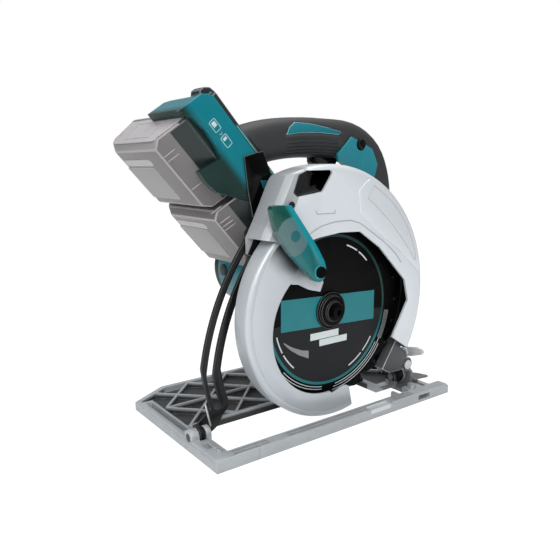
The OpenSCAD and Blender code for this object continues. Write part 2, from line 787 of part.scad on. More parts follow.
module battery_housing()
  color("teal") difference() {
    at_dock() difference() {
      union() {
        slab(dock_y0, dock_y1) dock_outline(trim_v);
        slab(dock_y0, pack_y - 0.3)
          polygon([[-9, 27], [-5.5, trim_v - 7], [-1, trim_v - 2],
            [dock_end, trim_v - 2], [dock_end, dock_v], [pitch + 19.5, dock_v],
            [pitch + 7.5, 28], [pitch - 20.5, 9.5], [pitch - 32.5, 7.6],
            [pitch - 44, 8.4], [pitch - 37.3, 31.7], [32, 35.4], [18, 36.5],
            [2.2, 33.5]]);
      }
      for (i = [0, 1]) translate([i * pitch, 0, 0])
        slab(pack_y - 0.3, dock_y1 + 1) rail_outline(0.3);
    }
    rod(motor_r + 2.3, 10, 100, motor_x, motor_z);
  }

module dock_trim()
  color("#161617") difference() {
    at_dock() difference() {
      union() {
        slab(dock_y0 + 4, dock_y1) polygon([[2.5, trim_v], [2.5, front_v],
          [dock_end, front_v], [dock_end, trim_v]]);
        // Rounded cap over the top of the dock.
        slab(dock_y0 + 12, dock_y0 + 28) polygon([[2.5, trim_v], [-2.7, trim_v - 3.5],
          [-5.6, trim_v], [-5, front_v - 2], [-1.5, front_v + 2.5], [4, front_v + 4],
          [30, front_v + 4], [37, front_v], [40, trim_v]]);
      }
      translate([dock_end - 68, dock_y0 + 6, trim_v - 1]) cube([52, 48, 4.5]);
    }
    rod(motor_r + 2.3, 10, 100, motor_x, motor_z);
  }

module rear_cover()
  color("#101012") slab(guide_y + guide_t + 0.7, dock_y0)
    translate([0, arbor_h])
      polygon([[-80.9, 140.9], [-68.6, 144.5], [-60.7, 145.8], [-51.8, 124.8],
        [-72.3, 89], [-77.2, 112.1]]);

module dock_terminals()
  color("goldenrod") at_dock() for (i = [0, 1], u = [-12, 11])
    translate([i * pitch + battery_w / 2 + u, pack_y + 3, dock_v + 9])
      cube([1, 18, battery_rail - 8.7]);

module controller()
  color("darkgreen") at_dock()
    translate([dock_end - 64, dock_y0 + 10, trim_v]) cube([44, 40, 3.2]);

module battery(i)
  at_dock() translate([i * pitch, 0, 0]) difference() {
    union() {
      intersection() {
        slab(pack_y, pack_y + battery_len)
          polygon([[6, 0], [battery_w - 6, 0], [battery_w, 6],
            [battery_w, dock_v - 6], [battery_w - 4, dock_v - 0.4],
            [4, dock_v - 0.4], [0, dock_v - 6], [0, 6]]);
        slab_x(-1, battery_w + 1)
          polygon([[pack_y, dock_v], [pack_y, dock_v - 14], [pack_y + 16, 0],
            [pack_y + battery_len - 12, 0], [pack_y + battery_len, 12],
            [pack_y + battery_len, dock_v]]);
      }
      slab(pack_y, pack_y + battery_len - 20) rail_outline(0);
    }
    for (u = [-12, 11])
      translate([battery_w / 2 + u - 0.7, pack_y - 1, dock_v + 7.5])
        cube([2.4, 26, 10]);
    translate([battery_w / 2 - 11, pack_y + battery_len - 10, dock_v - 10])
      cube([22, 20, 20]);
  }

module release(i)
  at_dock() translate([i * pitch, 0, 0])
    translate([battery_w / 2 - 10.5, pack_y + battery_len - 10, dock_v - 6])
      cube([21, 8, 8]);

module upper_battery() color("#5b5257") battery(0);
module lower_battery() color("#5b5257") battery(1);
module upper_release() color("#202022") release(0);
module lower_release() color("#202022") release(1);

// ---- spindle ----

module spindle()
  color("gray") difference() {
    union() {
      rod(spindle_r, -face_y + 0.3, bearing_y);
      rod(10, flange_y + 0.05, bearing_y - 0.3);
      rod(7, bearing_y - 0.5, case_y + 3.4);
      rod(8, case_y + 3.4, wall_y - 0.5);
      rod(5, wall_y - 0.6, wall_y + 9);
    }
    rod(4 + 0.02, -face_y - 1, flange_y + 8);
  }

module drive_gear()
  color("slategray") difference() {
    slab(gear_y, gear_y + 10)
      translate([0, arbor_h]) gear_outline(gear_teeth, motor_angle);
    rod(8 + 0.02, 10, 40);
  }

module inner_flange()
  color("#3b3b3d") difference() {
    union() {
      rod(flange_r, face_y, flange_y);
      rod(blade_bore_r - 0.02, -face_y + 0.2, face_y + 1);
    }
    rod(spindle_r + 0.02, -5, 10);
  }

module blade_outline() {
  r = blade_d / 2;
  a = 360 / tooth_count;
  polygon([for (i = [0:tooth_count - 1], p = [
      [r - 1, -0.004], [r - 5, -0.02], [r - gullet_depth + 1, 0.02],
      [r - gullet_depth, 0.1], [r - gullet_depth + 0.6, 0.2], [r - 5, 0.34],
      [r - 3, 0.5], [r - 1.6, 0.72], [r - 0.7, 0.93]])
    p[0] * [cos(a * (i + p[1])), sin(a * (i + p[1]))]]);
}

module blade()
  color("#1c1c1e") translate([0, 0, arbor_h]) difference() {
    union() {
      slab(-face_y, face_y) blade_outline();
      for (i = [0:tooth_count - 1])
        slab(-face_y - 0.3, face_y + 0.3)
          rotate(i * 360 / tooth_count)
            translate([blade_d / 2 - 5, -1.8]) square([5, 2.1]);
    }
    rod(blade_bore_r, -5, 5, 0, 0);
  }

module outer_flange()
  color("#2c2c2e") difference() {
    union() {
      rod(flange_r, -face_y - 2.2, -face_y);
      rod(flange_r - 3, -face_y - 5.1, -face_y);
      rod(9.5, -face_y - 7.6, -face_y);
    }
    rod(4 + 0.02, -20, 5);
  }

module blade_bolt()
  color("#4a4a4c") difference() {
    union() {
      rod(4, -face_y - 8, flange_y + 6);
      rod(6.5, -face_y - 13, -face_y - 7.6);
    }
    rod(3, -face_y - 14, -face_y - 9, $fn = 6);
  }

// ---- motor ----

module armature_shaft()
  color("lightgray") {
    rod(shaft_r, wall_y - 0.6, cap_y + 6.5, motor_x, motor_z);
    translate([motor_x, 0, motor_z]) slab(gear_y - 0.5, wall_y - 0.5)
      gear_outline(pinion_teeth, motor_angle);
  }

module armature_core()
  color("#6a4a2c") difference() {
    rod(20, motor_y + 20, motor_y + 58, motor_x, motor_z);
    rod(shaft_r + 0.02, motor_y, cap_y, motor_x, motor_z);
  }

module commutator()
  color("chocolate") difference() {
    rod(12, motor_y + 62, motor_y + 74, motor_x, motor_z);
    rod(shaft_r + 0.02, motor_y, cap_y, motor_x, motor_z);
  }

module cooling_fan()
  color("white") difference() {
    union() {
      rod(29, motor_y + 3, motor_y + 5, motor_x, motor_z);
      rod(8, motor_y + 3, motor_y + 12, motor_x, motor_z);
      for (i = [0:13]) translate([motor_x, 0, motor_z])
        slab(motor_y + 4.5, motor_y + 12) rotate(i * 360 / 14)
          translate([7, -0.8]) square([21.6, 1.6]);
    }
    rod(shaft_r + 0.02, motor_y, cap_y, motor_x, motor_z);
  }

// ---- lower guard ----

module guard_body(inset)
  translate([0, 0, arbor_h]) rotate([-90, 0, 0]) rotate_extrude($fn = 180)
    rim_profile(guard_r - inset, guard_y - inset, 3.4 - inset, 3 - inset);

// Opening of the near wall, seen from the blade axis, with a raised lip at its end.
module guard_window() {
  difference() {
    translate([-10.4, -12.7]) circle(63.3, $fn = 120);
    polygon([[-66, 72], [-50, 78], [-28, 60], [-17, 30], [-20.6, 21.9],
      [-33.5, 25.3], [-46, 31.4], [-52.6, 32.2], [-72, 52]]);
  }
  circle(30);
  polygon([[-12, -70], [-5, -78.3], [-2, -78.1], [2.5, -76.8], [7, -75.1], [12, -74.3],
    [15.4, -75], [18.4, -77], [20.6, -80.5], [22, -86], [24, -60], [0, -50]]);
}

module lower_guard()
  color("silver") difference() {
    intersection() {
      guard_body(0);
      union() {
        slab(-guard_y - 1, guard_y + 1) translate([0, arbor_h])
          sector(guard_r + 8, 115, 283);
        slab(guard_y - guard_wall, guard_y + 1) translate([0, arbor_h]) circle(30);
      }
    }
    guard_body(guard_wall);
    slab(-guard_y - 1, -guard_y + guard_wall + 0.5) translate([0, arbor_h]) guard_window();
    // Groove that sets the rolled rim apart from the near wall.
    slab(-guard_y - 1, -guard_y + 0.4) translate([0, arbor_h])
      band(guard_r - 6, guard_r - 5, 116, 282);
    rod(hub_r + run_fit, guard_y - 3, guard_y + 1);
    rod(lever_pin_r + 0.02, -20, 0, lever_x, lever_z);
  }

module lever_outline()
  translate([0, arbor_h])
    polygon([[-77.5, 102.1], [-64.4, 101.6], [-50.1, 83.6], [-36.7, 66.2],
      [-28, 52.4], [-26, 46.5], [-26, 41], [-28, 36.5], [-31.1, 34.5], [-34.5, 34.3],
      [-38.5, 35.8], [-53, 49.7], [-65.8, 62.3], [-76.6, 76.7], [-81.7, 89.1],
      [-84.1, 98.8], [-83, 101.4]]);

module guard_lever()
  color("#1aa0a0") difference() {
    union() {
      slab(-lever_y - 6.5, -lever_y) lever_outline();
      rod(6.5, -lever_y - 1, -guard_y, lever_x, lever_z);
    }
    rod(lever_pin_r + 0.02, -40, 0, lever_x, lever_z);
  }

module lever_screw()
  color("gray") {
    rod(lever_pin_r, -lever_y - 6.8, -guard_y + guard_wall, lever_x, lever_z);
    rod(lever_pin_r + 2, -lever_y - 8.6, -lever_y - 6.5, lever_x, lever_z);
  }

module shaft_lock()
  color("#151515") {
    rod(3, wall_y + 0.4, wall_y + 7, 0, arbor_h - 22);
    rod(5.5, wall_y + 6, wall_y + 12, 0, arbor_h - 22);
  }

base_plate();
clamp_post();
bevel_quadrant();
rear_hinge_pin();
front_hinge_pin();
fence_screw();
depth_guide();
tilt_bracket();
depth_pivot_pin();
bevel_bolt();
bevel_lever();
blade_case();
front_link();
gear_housing();
bearing_retainer();
spindle_bearing();
needle_bearing();
guard_spring();
motor_housing();
motor_end_cap();
stator();
front_motor_bearing();
rear_motor_bearing();
brush_holders();
brush_caps();
depth_bolt();
depth_lever();
handle_right();
handle_left();
handle_panel();
handle_inlay();
switch_body();
trigger();
lock_off_button();
battery_housing();
dock_trim();
rear_cover();
dock_terminals();
controller();
spindle();
drive_gear();
inner_flange();
blade();
outer_flange();
blade_bolt();
armature_shaft();
armature_core();
commutator();
cooling_fan();
lower_guard();
guard_lever();
lever_screw();
shaft_lock();
upper_battery();
upper_release();
lower_battery();
lower_release();
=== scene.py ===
import json
from math import cos, pi, radians, sin

import bmesh
import bpy
import numpy as np
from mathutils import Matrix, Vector

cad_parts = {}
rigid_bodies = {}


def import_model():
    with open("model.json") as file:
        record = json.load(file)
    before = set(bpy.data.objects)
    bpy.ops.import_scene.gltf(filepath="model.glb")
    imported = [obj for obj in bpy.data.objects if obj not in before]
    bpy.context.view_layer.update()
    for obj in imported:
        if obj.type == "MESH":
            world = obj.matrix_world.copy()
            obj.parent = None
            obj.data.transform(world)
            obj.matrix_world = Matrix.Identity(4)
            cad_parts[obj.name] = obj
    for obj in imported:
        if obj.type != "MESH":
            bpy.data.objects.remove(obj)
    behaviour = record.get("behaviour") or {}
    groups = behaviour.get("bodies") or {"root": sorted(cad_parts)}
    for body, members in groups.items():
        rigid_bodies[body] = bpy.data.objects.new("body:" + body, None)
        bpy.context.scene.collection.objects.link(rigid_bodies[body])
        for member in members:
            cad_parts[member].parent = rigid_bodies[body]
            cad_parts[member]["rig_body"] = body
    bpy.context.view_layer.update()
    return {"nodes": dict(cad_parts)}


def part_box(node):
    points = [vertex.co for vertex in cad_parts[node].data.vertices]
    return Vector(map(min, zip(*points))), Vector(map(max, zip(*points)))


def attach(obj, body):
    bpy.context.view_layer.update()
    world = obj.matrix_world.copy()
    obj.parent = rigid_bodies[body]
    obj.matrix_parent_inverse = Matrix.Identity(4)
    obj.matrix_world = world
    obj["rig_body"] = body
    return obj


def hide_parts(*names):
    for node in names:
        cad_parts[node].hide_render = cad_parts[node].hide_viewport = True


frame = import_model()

mm = 0.001


# ---- Camera, lamps and floor ----
# The saw stands on a white table, seen from behind its blade side at hand height.
# Broad lamps and a white ceiling light it softly; the walls of the room are darker.
table_white = (0.9, 0.9, 0.9, 1)
table_glow = 1.12
table_glow_share = 0.93
table_reach = 3.0
wall_light = 0.16
ceiling_light = 0.75
camera_place = (-0.3615, -0.4046, 0.2361)
camera_dip = 10.93
camera_turn = -36.86
saw_middle = (0, 0.05, 0.15)

lens = bpy.data.cameras.new("camera")
lens.sensor_width = 36
lens.lens = 37.93
lens.clip_start = 0.01
camera = bpy.data.objects.new("camera", lens)
camera.location = camera_place
camera.rotation_euler = (radians(90 - camera_dip), 0, radians(camera_turn))
bpy.context.scene.collection.objects.link(camera)
bpy.context.scene.camera = camera
bpy.context.scene.view_settings.view_transform = "Standard"


def lamp(name, place, target, power, size):
    """A square lamp at place, turned so that its face looks at target."""
    light = bpy.data.lights.new(name, "AREA")
    light.energy = power
    light.size = size
    holder = bpy.data.objects.new(name, light)
    holder.location = place
    holder.rotation_euler = (Vector(target) - Vector(place)).to_track_quat("-Z", "Y").to_euler()
    bpy.context.scene.collection.objects.link(holder)


lamp("key_lamp", (-0.5, -0.85, 0.72), (0, 0, 0.14), power=7.5, size=0.5)
lamp("left_lamp", (-1.2, -0.1, 0.5), saw_middle, power=3.2, size=0.7)
lamp("top_lamp", (0.1, 0.25, 1.3), saw_middle, power=8, size=0.9)

room = bpy.data.worlds.new("room")
bpy.context.scene.world = room
room.use_nodes = True
room_nodes = room.node_tree.nodes
room_links = room.node_tree.links
room_nodes.clear()
rays = room_nodes.new("ShaderNodeLightPath")
seen = room_nodes.new("ShaderNodeMath")
seen.operation = "MAXIMUM"
looking = room_nodes.new("ShaderNodeTexCoord")
upward = room_nodes.new("ShaderNodeSeparateXYZ")
fade = room_nodes.new("ShaderNodeMapRange")
fade.interpolation_type = "SMOOTHSTEP"
fade.inputs["From Min"].default_value = -0.1
fade.inputs["From Max"].default_value = 0.85
fade.inputs["To Min"].default_value = wall_light
fade.inputs["To Max"].default_value = ceiling_light
shine = room_nodes.new("ShaderNodeBackground")
shine.inputs["Color"].default_value = (0.96, 0.98, 1, 1)
backdrop = room_nodes.new("ShaderNodeBackground")
backdrop.inputs["Color"].default_value = (1, 1, 1, 1)
backdrop.inputs["Strength"].default_value = 1
either = room_nodes.new("ShaderNodeMixShader")
out = room_nodes.new("ShaderNodeOutputWorld")
room_links.new(looking.outputs["Generated"], upward.inputs[0])
room_links.new(upward.outputs["Z"], fade.inputs["Value"])
room_links.new(fade.outputs["Result"], shine.inputs["Strength"])
room_links.new(rays.outputs["Is Camera Ray"], seen.inputs[0])
room_links.new(rays.outputs["Is Transmission Ray"], seen.inputs[1])
room_links.new(seen.outputs[0], either.inputs[0])
room_links.new(shine.outputs[0], either.inputs[1])
room_links.new(backdrop.outputs[0], either.inputs[2])
room_links.new(either.outputs[0], out.inputs[0])

quarters = ((-1, -1), (1, -1), (1, 1), (-1, 1))
floor_corners = [(x * table_reach, y * table_reach, 0) for x, y in quarters]
floor_mesh = bpy.data.meshes.new("table_top")
floor_mesh.from_pydata(floor_corners, [], [(0, 1, 2, 3)])
table_top = bpy.data.objects.new("table_top", floor_mesh)
bpy.context.scene.collection.objects.link(table_top)
floor_paint = bpy.data.materials.new("table_paint")
floor_paint.use_nodes = True
floor_nodes = floor_paint.node_tree.nodes
floor_links = floor_paint.node_tree.links
floor_shader = floor_nodes["Principled BSDF"]
floor_shader.inputs["Base Color"].default_value = table_white
floor_shader.inputs["Roughness"].default_value = 0.9
floor_rays = floor_nodes.new("ShaderNodeLightPath")
floor_glow = floor_nodes.new("ShaderNodeEmission")
floor_glow.inputs["Color"].default_value = (1, 1, 1, 1)
floor_glow.inputs["Strength"].default_value = table_glow
share = floor_nodes.new("ShaderNodeMath")
share.operation = "MULTIPLY"
share.inputs[1].default_value = table_glow_share
floor_mix = floor_nodes.new("ShaderNodeMixShader")
floor_links.new(floor_rays.outputs["Is Camera Ray"], share.inputs[0])
floor_links.new(share.outputs[0], floor_mix.inputs[0])
floor_links.new(floor_shader.outputs[0], floor_mix.inputs[1])
floor_links.new(floor_glow.outputs[0], floor_mix.inputs[2])
floor_links.new(floor_mix.outputs[0], floor_nodes["Material Output"].inputs["Surface"])
floor_mesh.materials.append(floor_paint)


# ---- Base plate ----
# The shoe is a pressure die casting in aluminium, ribbed over the motor side panel.
# Its skin is left as cast, a matt grey with a sandy grain, and its rounded edges are paler.
cast_grey = (0.38, 0.40, 0.415)
pale_edge_grey = (0.72, 0.73, 0.75)
rib_floor_shade = (0.045, 0.047, 0.048)
bridge_shade = (0.16, 0.165, 0.17)
pale_block = (0.60, 0.63, 0.65)
seam_grey = (0.14, 0.145, 0.15)
boss_shade = (0.02, 0.022, 0.023)
forward, backward = (1, 0, 0), (-1, 0, 0)
away, nearer = (0, 1, 0), (0, -1, 0)
up, down = (0, 0, 1), (0, 0, -1)
colour_a, colour_b, mixed = 6, 7, 2     # sockets of a Mix node that mixes colours
gloss_swing = 0.06


def finish(name, colour, roughness, metal=0.0, grain=900, depth=0.1, mottle=0.06, patch=60,
           coat=0.0, opacity=1.0, shine=0.4):
    """A surface finish. Fine noise lifts the skin by depth, and broad noise makes the colour
    lighter and darker by the share mottle and moves the roughness with it."""
    paint = bpy.data.materials.new(name)
    paint.use_nodes = True
    nodes = paint.node_tree.nodes
    links = paint.node_tree.links
    shader = nodes["Principled BSDF"]
    shader.inputs["Metallic"].default_value = metal
    shader.inputs["Coat Weight"].default_value = coat
    shader.inputs["Coat Roughness"].default_value = 0.12
    shader.inputs["Alpha"].default_value = opacity
    shader.inputs["Specular IOR Level"].default_value = shine
    place = nodes.new("ShaderNodeTexCoord")
    broad = nodes.new("ShaderNodeTexNoise")
    broad.inputs["Scale"].default_value = patch
    broad.inputs["Detail"].default_value = 5
    tint = nodes.new("ShaderNodeMix")
    tint.data_type = "RGBA"
    tint.inputs[colour_a].default_value = (*[c * (1 - mottle) for c in colour], 1)
    tint.inputs[colour_b].default_value = (*[min(c * (1 + mottle), 1) for c in colour], 1)
    gloss = nodes.new("ShaderNodeMapRange")
    gloss.inputs["To Min"].default_value = max(roughness - gloss_swing, 0.03)
    gloss.inputs["To Max"].default_value = roughness + gloss_swing
    fine = nodes.new("ShaderNodeTexNoise")
    fine.inputs["Scale"].default_value = grain
    fine.inputs["Detail"].default_value = 3
    bump = nodes.new("ShaderNodeBump")
    bump.inputs["Strength"].default_value = depth
    bump.inputs["Distance"].default_value = 0.2 * mm
    links.new(place.outputs["Object"], broad.inputs["Vector"])
    links.new(place.outputs["Object"], fine.inputs["Vector"])
    links.new(broad.outputs["Fac"], tint.inputs[0])
    links.new(broad.outputs["Fac"], gloss.inputs["Value"])
    links.new(tint.outputs[mixed], shader.inputs["Base Color"])
    links.new(gloss.outputs["Result"], shader.inputs["Roughness"])
    links.new(fine.outputs["Fac"], bump.inputs["Height"])
    links.new(bump.outputs["Normal"], shader.inputs["Normal"])
    return paint


def painted_where(paint, colour, planes=(), axis=None):
    """Gives part of a finish another colour. Each plane is a direction, a start and an end in
    metres: it holds where the distance along the direction has passed from start to end. With
    an axis (x, z, radius) the part also lies closer than radius to that line along Y."""
    nodes = paint.node_tree.nodes
    links = paint.node_tree.links
    target = nodes["Principled BSDF"].inputs["Base Color"]
    before = target.links[0].from_socket
    place = nodes.new("ShaderNodeTexCoord")
    tests = []
    for direction, start, end in planes:
        run = nodes.new("ShaderNodeVectorMath")
        run.operation = "DOT_PRODUCT"
        run.inputs[1].default_value = direction
        step = nodes.new("ShaderNodeMapRange")
        step.interpolation_type = "SMOOTHSTEP"
        step.inputs["From Min"].default_value = start
        step.inputs["From Max"].default_value = end
        links.new(place.outputs["Object"], run.inputs[0])
        links.new(run.outputs["Value"], step.inputs["Value"])
        tests.append(step.outputs["Result"])
    if axis:
        flat = nodes.new("ShaderNodeMapping")
        flat.inputs["Location"].default_value = (-axis[0], 0, -axis[1])
        flat.inputs["Scale"].default_value = (1, 0, 1)
        distance = nodes.new("ShaderNodeVectorMath")
        distance.operation = "LENGTH"
        inside = nodes.new("ShaderNodeMath")
        inside.operation = "LESS_THAN"
        inside.inputs[1].default_value = axis[2]
        links.new(place.outputs["Object"], flat.inputs["Vector"])
        links.new(flat.outputs["Vector"], distance.inputs[0])
        links.new(distance.outputs["Value"], inside.inputs[0])
        tests.append(inside.outputs[0])
    while len(tests) > 1:
        both = nodes.new("ShaderNodeMath")
        both.operation = "MULTIPLY"
        links.new(tests.pop(), both.inputs[0])
        links.new(tests.pop(), both.inputs[1])
        tests.append(both.outputs[0])
    mix = nodes.new("ShaderNodeMix")
    mix.data_type = "RGBA"
    mix.inputs[colour_b].default_value = (*colour, 1)
    links.new(tests[0], mix.inputs[0])
    links.new(before, mix.inputs[colour_a])
    links.new(mix.outputs[mixed], target)


def dress(node, paint):
    """Gives a frame node its finish."""
    slots = frame["nodes"][node].data.materials
    slots.clear()
    slots.append(paint)


def eased(node, width, paint, edge_paint=None, steps=2, angle=25):
    """A copy of a node's skin with its corners joined, its flat faces made whole and each edge
    sharper than angle rounded over by width, in mm. The rounded edges can have a finish of
    their own."""
    same_corner = 0.02 * mm
    same_face = radians(0.6)
    form = bmesh.new()
    form.from_mesh(frame["nodes"][node].data)
    bmesh.ops.remove_doubles(form, verts=form.verts, dist=same_corner)
    bmesh.ops.dissolve_limit(form, angle_limit=same_face, verts=form.verts, edges=form.edges)
    skin = bpy.data.meshes.new(node + "_skin")
    form.to_mesh(skin)
    form.free()
    skin.polygons.foreach_set("use_smooth", [True] * len(skin.polygons))
    skin.polygons.foreach_set("material_index", [0] * len(skin.polygons))
    skin.materials.clear()
    skin.materials.append(paint)
    piece = bpy.data.objects.new(node + "_skin", skin)
    bpy.context.scene.collection.objects.link(piece)
    rounding = piece.modifiers.new("rounding", "BEVEL")
    rounding.width = width * mm
    rounding.segments = steps
    rounding.limit_method = "ANGLE"
    rounding.angle_limit = radians(angle)
    rounding.use_clamp_overlap = True
    rounding.harden_normals = True
    if edge_paint:
        skin.materials.append(edge_paint)
        rounding.material = 1
    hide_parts(node)
    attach(piece, frame["nodes"][node]["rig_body"])
    return piece


casting = finish("cast_aluminium", cast_grey, 0.5, metal=0.35, grain=1400, depth=0.35,
                 mottle=0.14)
casting_edge = finish("cast_aluminium_edge", pale_edge_grey, 0.42, metal=0.35, grain=1400, depth=0.2)
plate_low, plate_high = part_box("base_plate")
# In turn: painted shade on the floor between the ribs and on the bridge in front of the blade,
# the pale block and the seam on the near rail, and the shade round the front bosses.
painted_where(casting, rib_floor_shade, [
    (down, -7.5 * mm, -4.5 * mm), (away, 20 * mm, 22 * mm),
    (forward, plate_low[0] + 6 * mm, plate_low[0] + 8 * mm),
    (nearer, 5 * mm - plate_high[1], 7 * mm - plate_high[1])])
painted_where(casting, bridge_shade, [
    (forward, 84 * mm, 86 * mm), (nearer, -13 * mm, -12 * mm), (away, -14 * mm, -13 * mm)])
painted_where(casting, pale_block, [
    (forward, 21.8 * mm, 22.2 * mm), (backward, -49.2 * mm, -48.8 * mm),
    (up, 5 * mm, 5.6 * mm), (nearer, 30 * mm, 30.4 * mm)])
painted_where(casting, seam_grey, [
    (forward, -106.9 * mm, -106.6 * mm), (backward, 106.2 * mm, 106.5 * mm),
    (nearer, 30 * mm, 30.4 * mm)])
painted_where(casting, boss_shade, [
    (forward, 80 * mm, 81 * mm), (backward, -108 * mm, -107 * mm),
    (up, 8.2 * mm, 8.6 * mm), (away, -9 * mm, -8 * mm)])
eased("base_plate", 0.5, casting, casting_edge)
eased("clamp_post", 0.4, casting, casting_edge)
eased("bevel_quadrant", 0.4, casting, casting_edge)
# The clamp lever's light grey is painted light: it stands for the light that falls on it.
lit_lever_metal = finish("lever_painted_light", (0.62, 0.63, 0.64), 0.4, metal=0.3, grain=1800, depth=0.15)
eased("bevel_lever", 0.6, lit_lever_metal, casting_edge)

# ---- Pins and screws of the base ----
# Turned steel pins on which the saw tilts, and the bolts that clamp it. All are zinc plated
# apart from the rear hinge pin, which is dark with oil.
zinc = finish("zinc_plate", (0.55, 0.55, 0.55), 0.32, metal=0.9, grain=2500, depth=0.1,
              mottle=0.08)
for node in ("front_hinge_pin", "fence_screw", "bevel_bolt", "depth_pivot_pin"):
    dress(node, zinc)
dress("rear_hinge_pin", finish("oiled_pin", (0.03, 0.03, 0.031), 0.35, metal=0.6, grain=2000))

# ---- Depth guide and front hinge ----
# The guide, the bracket and the depth lever are pressed steel under black baked enamel, smooth
# with a soft shine; the paler grey on the guide's rounded edges is a painted highlight. The link
# between them and the case is a grey moulding, and its paler edges are a painted highlight too.
enamel = finish("black_enamel", (0.003, 0.0032, 0.0034), 0.3, grain=1800, depth=0.12, mottle=0.2,
                shine=0.3)
# Painted highlight: the paler grey of the guide's rounded edges.
enamel_edge = finish("black_enamel_edge", (0.05, 0.052, 0.055), 0.3, grain=1800, depth=0.1)
eased("depth_guide", 0.5, enamel, enamel_edge)
eased("tilt_bracket", 0.6, enamel)
link_paint = finish("grey_moulding", (0.06, 0.063, 0.065), 0.42, grain=1500, depth=0.2,
                    mottle=0.15)
# Painted highlight: the paler grey of the link's rounded edges.
link_edge = finish("grey_moulding_edge", (0.4, 0.41, 0.42), 0.4, grain=1500, depth=0.2)
eased("front_link", 0.8, link_paint, link_edge)
eased("depth_lever", 1.0, enamel)
dress("depth_bolt", zinc)

# ---- Upper blade case ----
# A magnesium casting with silver lacquer outside, even with a faint sparkle. Inside, where
# the dust flies, it is black. Plain raised panels stand on its blade side.
case_centre = (-10 * mm, 113 * mm)
case_inner_radius = 122.7 * mm
case_wall = 2.5 * mm
case_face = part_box("blade_case")[0][1]
case_slant = (-0.899, 0, 0.438)
against_slant = (0.899, 0, -0.438)
lacquer_silver = (0.60, 0.63, 0.66)
slant_shade = 0.56
case_black = (0.005, 0.005, 0.006)

lacquer = finish("silver_lacquer", lacquer_silver, 0.38, metal=0.25, grain=2600, depth=0.08,
                 mottle=0.03, coat=0.2)
case_paint = finish("case_lacquer", lacquer_silver, 0.38, metal=0.25, grain=2600, depth=0.08,
                    mottle=0.03, coat=0.2)
# The raised lines on the case are a darker grey, painted shade along their steps.
step_shade_grey = finish("step_shade_grey", (0.36, 0.385, 0.405), 0.45, metal=0.2, grain=2600,
                      depth=0.08, mottle=0.03)
room_side = -case_face - case_wall + 0.1 * mm
# In turn: the slanted band at the rear, which lies in shade, and the black inside.
painted_where(case_paint, [c * slant_shade for c in lacquer_silver],
              [(case_slant, 136.2 * mm, 136.8 * mm)])
painted_where(case_paint, case_black, [
    (away, -room_side - 0.05 * mm, -room_side), (nearer, -room_side - 0.05 * mm, -room_side),
    (against_slant, -145.9 * mm, -145.7 * mm)], (*case_centre, case_inner_radius))
eased("blade_case", 1.0, case_paint, steps=3)


def outline_normals(outline):
    """Unit normals of a closed outline, each square to the line between a point's neighbours.
    They point outwards on an outline that runs anticlockwise."""
    along = np.roll(outline, -1, axis=0) - np.roll(outline, 1, axis=0)
    normal = np.stack([along[:, 1], -along[:, 0]], axis=1)
    return normal / np.linalg.norm(normal, axis=1)[:, None]


def rounded_outline(points, step=1.5, softness=3):
    """A closed outline through points, cut into steps of about step mm, with its corners
    softened by averaging each point with its neighbours softness times."""
    corners = np.array(points, float)
    runs = []
    for start, end in zip(corners, np.roll(corners, -1, axis=0)):
        count = max(int(np.linalg.norm(end - start) / step), 1)
        share_along = np.arange(count)[:, None] / count
        runs.append(start + (end - start) * share_along)
    outline = np.concatenate(runs)
    for _ in range(softness):
        outline = (np.roll(outline, 1, axis=0) + 2 * outline + np.roll(outline, -1, axis=0)) / 4
    following = np.roll(outline, -1, axis=0)
    area = (outline[:, 0] * following[:, 1] - outline[:, 1] * following[:, 0]).sum()
    return outline if area > 0 else outline[::-1]


def grid_faces(rows, cols, round_rows=False, round_cols=False):
    """Four-sided faces of a grid of corners numbered row by row. Each joins corner (k, j) to
    (k + 1, j), (k + 1, j + 1) and (k, j + 1), and a round grid also joins its last row or
    column to the first."""
    k, j = np.meshgrid(np.arange(rows if round_rows else rows - 1),
                       np.arange(cols if round_cols else cols - 1), indexing="ij")
    after, beside = (k + 1) % rows, (j + 1) % cols
    faces = [k * cols + j, after * cols + j, after * cols + beside, k * cols + beside]
    return np.stack(faces, axis=-1).reshape(-1, 4).tolist()


def solid_of(name, verts, faces, paint, body):
    """Makes a mesh of the corners and faces and lets it ride on a body."""
    mesh = bpy.data.meshes.new(name)
    mesh.from_pydata(verts.tolist(), [], faces)
    form = bmesh.new()
    form.from_mesh(mesh)
    bmesh.ops.recalc_face_normals(form, faces=form.faces)
    form.to_mesh(mesh)
    form.free()
    mesh.polygons.foreach_set("use_smooth", [True] * len(mesh.polygons))
    mesh.materials.append(paint)
    piece = bpy.data.objects.new(name, mesh)
    bpy.context.scene.collection.objects.link(piece)
    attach(piece, body)
    return piece


def facing(level):
    """Gives the function that carries flat points on to the plane y = level, which faces the
    blade side: u forward and v up, both in mm from the arbor's foot on the sole, and off metres
    in front of the plane."""
    def place(u, v, off):
        return np.stack([u * mm, np.broadcast_to(level - off, u.shape), v * mm], axis=-1)
    return place


def raised_panel(name, points, height, paint, body, place, ease=0.6, softness=3, sunk=0.3):
    """A low panel on a face. Its profile, a wall and a rounded shoulder, is carried round its
    outline: ring k lies inside the outline by ease * (1 - cos t) and above the face by
    height - ease * (1 - sin t), for t from 0 to a quarter turn. The top is one flat face."""
    outline = rounded_outline(points, softness=softness)
    normal = outline_normals(outline)
    quarter = np.linspace(0, pi / 2, 5)
    inset = np.concatenate([[0], ease * (1 - np.cos(quarter))])
    lift = np.concatenate([[-sunk], height - ease * (1 - np.sin(quarter))])
    lift = np.maximum(lift, -sunk)
    rings = outline[None] - normal[None] * inset[:, None, None]
    off = np.broadcast_to((lift * mm)[:, None], rings.shape[:2])
    verts = place(rings[..., 0], rings[..., 1], off).reshape(-1, 3)
    n = len(outline)
    faces = grid_faces(len(lift), n, round_cols=True)
    faces += [tuple(range((len(lift) - 1) * n, len(lift) * n)), tuple(range(n))]
    return solid_of(name, verts, faces, paint, body)


